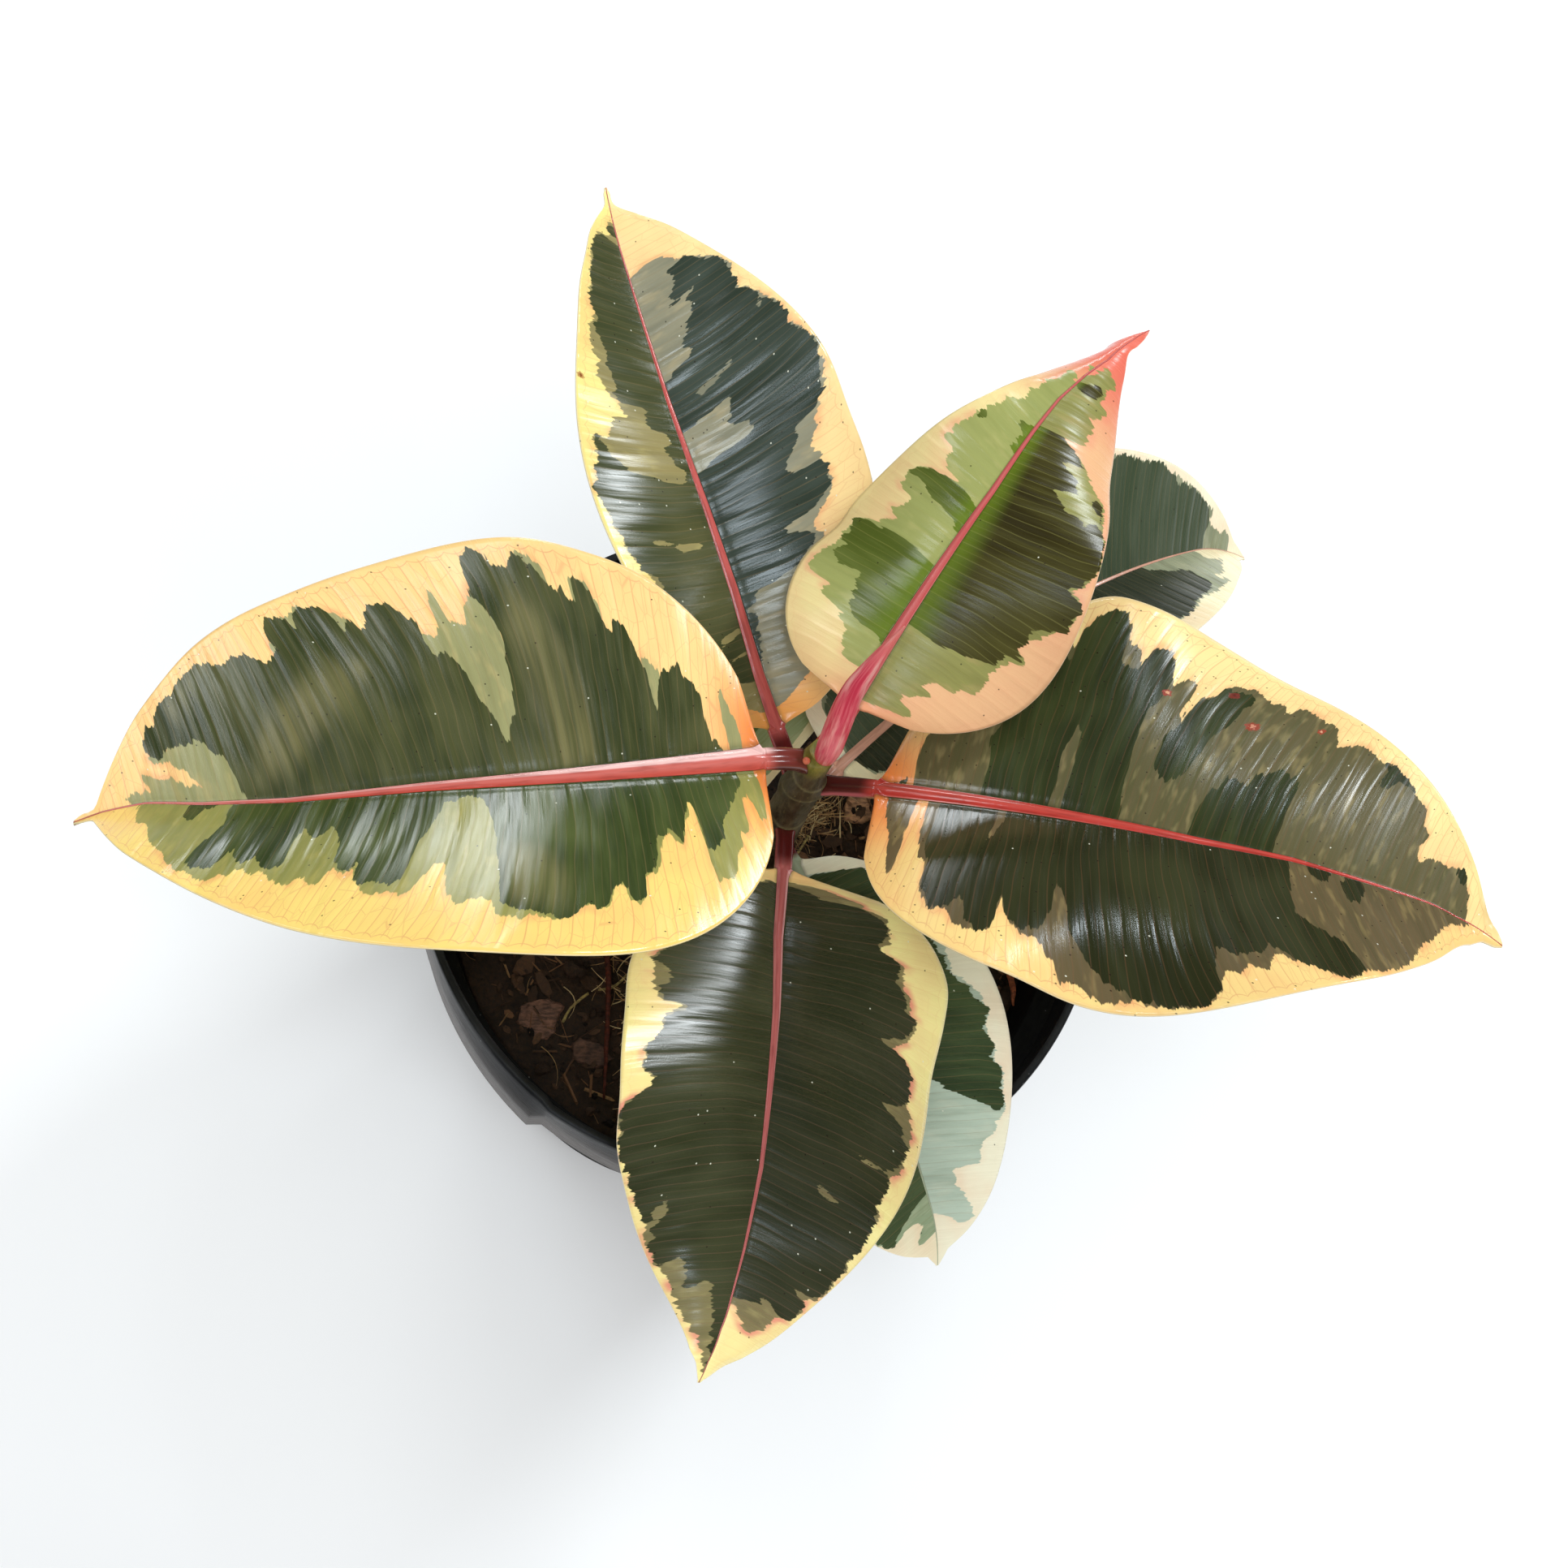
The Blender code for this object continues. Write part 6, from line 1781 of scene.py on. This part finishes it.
def torn_bark_material(name, colour):
    material, web, shader = new_material(name)
    place = web.object_place()
    x, y, z = web.split(place)
    grain = web.noise(web.stretch((x, 500), (y, 1400), (z, 900)), 1.0, 4.0, 0.65)
    blotch = web.noise(place, 260, 3.0, 0.6)
    dark = tint(*(channel * 0.55 for channel in colour))
    light = tint(*(min(channel * 1.25, 255) for channel in colour))
    base = web.mix(web.ramp(grain, 0.3, 0.7), dark, tint(*colour))
    base = web.mix(web.ramp(blotch, 0.5, 0.75, 0.0, 0.6), base, light)
    finish_shader(web, shader, base, web.ramp(blotch, 0.3, 0.7, 0.65, 0.85), grain, 0.0004)
    return material


for node in sorted(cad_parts):
    if node.startswith("bark_chip"):
        piece = roughened(node, node + "_torn", 5, 0.0010, 0.0004)
        finish = torn_bark_material(node + "_surface", CHIP_TONES.get(node, (100, 66, 48)))
        finish_piece(piece, finish, "bark_chip", node)
    elif node.startswith("peat_lump"):
        piece = roughened(node, node + "_crumbled", 2, 0.0011, 0.0006, 1.0)
        finish_piece(piece, earth_material(node + "_surface", 0.20), "peat", node)
    elif node.startswith("coir_fibre"):
        piece = roughened(node, node + "_strand", 1, 0.0003, 0.0001, 0.3)
        finish_piece(piece, torn_bark_material(node + "_surface", (186, 160, 96)), "coir", node)
    elif node.startswith("dropped_scale"):
        piece = roughened(node, node + "_dried", 3, 0.0003, 0.0001, 0.5)
        colour = (104, 44, 26) if node.endswith("long") else (178, 96, 56)
        finish_piece(piece, torn_bark_material(node + "_surface", colour), "dried_scale", node)

# %% [markdown]
# ## Camera, floor and light
# The camera looks down from the front left. A sheet of white paper lies under the pot. A waxy leaf
# shows what it reflects, so small bright windows stand where they put a sheen on the leaves, and
# two wide soft boxes fill the shade without showing in any reflection.

# %% Camera
CAMERA_PLACE = Vector((-0.1316, -0.2419, 0.90))
CAMERA_AIM = Vector((0.0052, 0.0191, 0.15))
forward = (CAMERA_AIM - CAMERA_PLACE).normalized()
right = forward.cross(Vector((0, 1, 0))).normalized()
up = right.cross(forward)
camera_data = bpy.data.cameras.new("camera")
camera_data.lens, camera_data.sensor_width = 67.04, 36
camera = add_to_scene("camera", camera_data)
camera.matrix_world = Matrix((
    (right.x, up.x, -forward.x, CAMERA_PLACE.x),
    (right.y, up.y, -forward.y, CAMERA_PLACE.y),
    (right.z, up.z, -forward.z, CAMERA_PLACE.z),
    (0, 0, 0, 1),
))
bpy.context.scene.camera = camera
bpy.context.scene.view_settings.view_transform = "Standard"

# %% Floor and lights
LIGHT_AIM = 0.2
deselect_all()
bpy.ops.mesh.primitive_plane_add(size=6, location=(0, 0, 0))
floor = bpy.context.object
floor.name = "floor"
floor_material, _, floor_shader = new_material("floor_paper")
floor_shader.inputs["Base Color"].default_value = (0.97, 0.97, 0.965, 1)
floor_shader.inputs["Roughness"].default_value = 0.9
floor.data.materials.append(floor_material)


def area_light(name, azimuth, elevation, distance, width, height, power, colour):
    """A soft box aimed at the leaves, placed by its compass angle and its angle above level."""
    data = bpy.data.lights.new(name, "AREA")
    data.shape = "ELLIPSE" if width == height else "RECTANGLE"
    data.size = width
    data.size_y = height
    data.energy = power
    data.color = colour
    light = add_to_scene(name, data)
    away = Vector(direction(math.radians(elevation), math.radians(azimuth)))
    light.location = Vector((0, 0, LIGHT_AIM)) + away * distance
    light.rotation_euler = (-away).to_track_quat("-Z", "Y").to_euler()
    return light


area_light("high_window", 41, 36, 1.6, 0.38, 0.32, 11.5, (0.90, 0.96, 1.0))
area_light("far_window", 71, 46, 1.6, 0.10, 0.08, 0.9, (0.82, 0.92, 1.0))
area_light("low_window", 91, 9, 1.5, 0.42, 0.18, 3.0, (0.92, 0.97, 1.0))
area_light("top_window", -108, 77, 2.2, 0.46, 0.46, 5.2, (0.78, 0.90, 1.0))
area_light("side_window", 143, 54, 1.5, 0.35, 0.40, 3.0, (0.92, 0.97, 1.0))
ceiling = area_light("ceiling", -126, 64, 2.0, 2.0, 2.0, 13.5, (0.99, 0.99, 1.0))
front_fill = area_light("front_fill", -50, 32, 2.0, 1.2, 1.2, 10, (0.99, 0.99, 1.0))
ceiling.visible_glossy = front_fill.visible_glossy = False
world = bpy.data.worlds.new("studio")
world.use_nodes = True
world_web = Web(world.node_tree)
shiny = world_web.add("ShaderNodeLightPath").outputs["Is Glossy Ray"]  # reflections see a dark room
background = world.node_tree.nodes["Background"].inputs
background["Color"].default_value = (0.96, 0.98, 1.0, 1)
world_web.put(background["Strength"], world_web.math("MULTIPLY_ADD", shiny, -0.39, 0.45))
bpy.context.scene.world = world
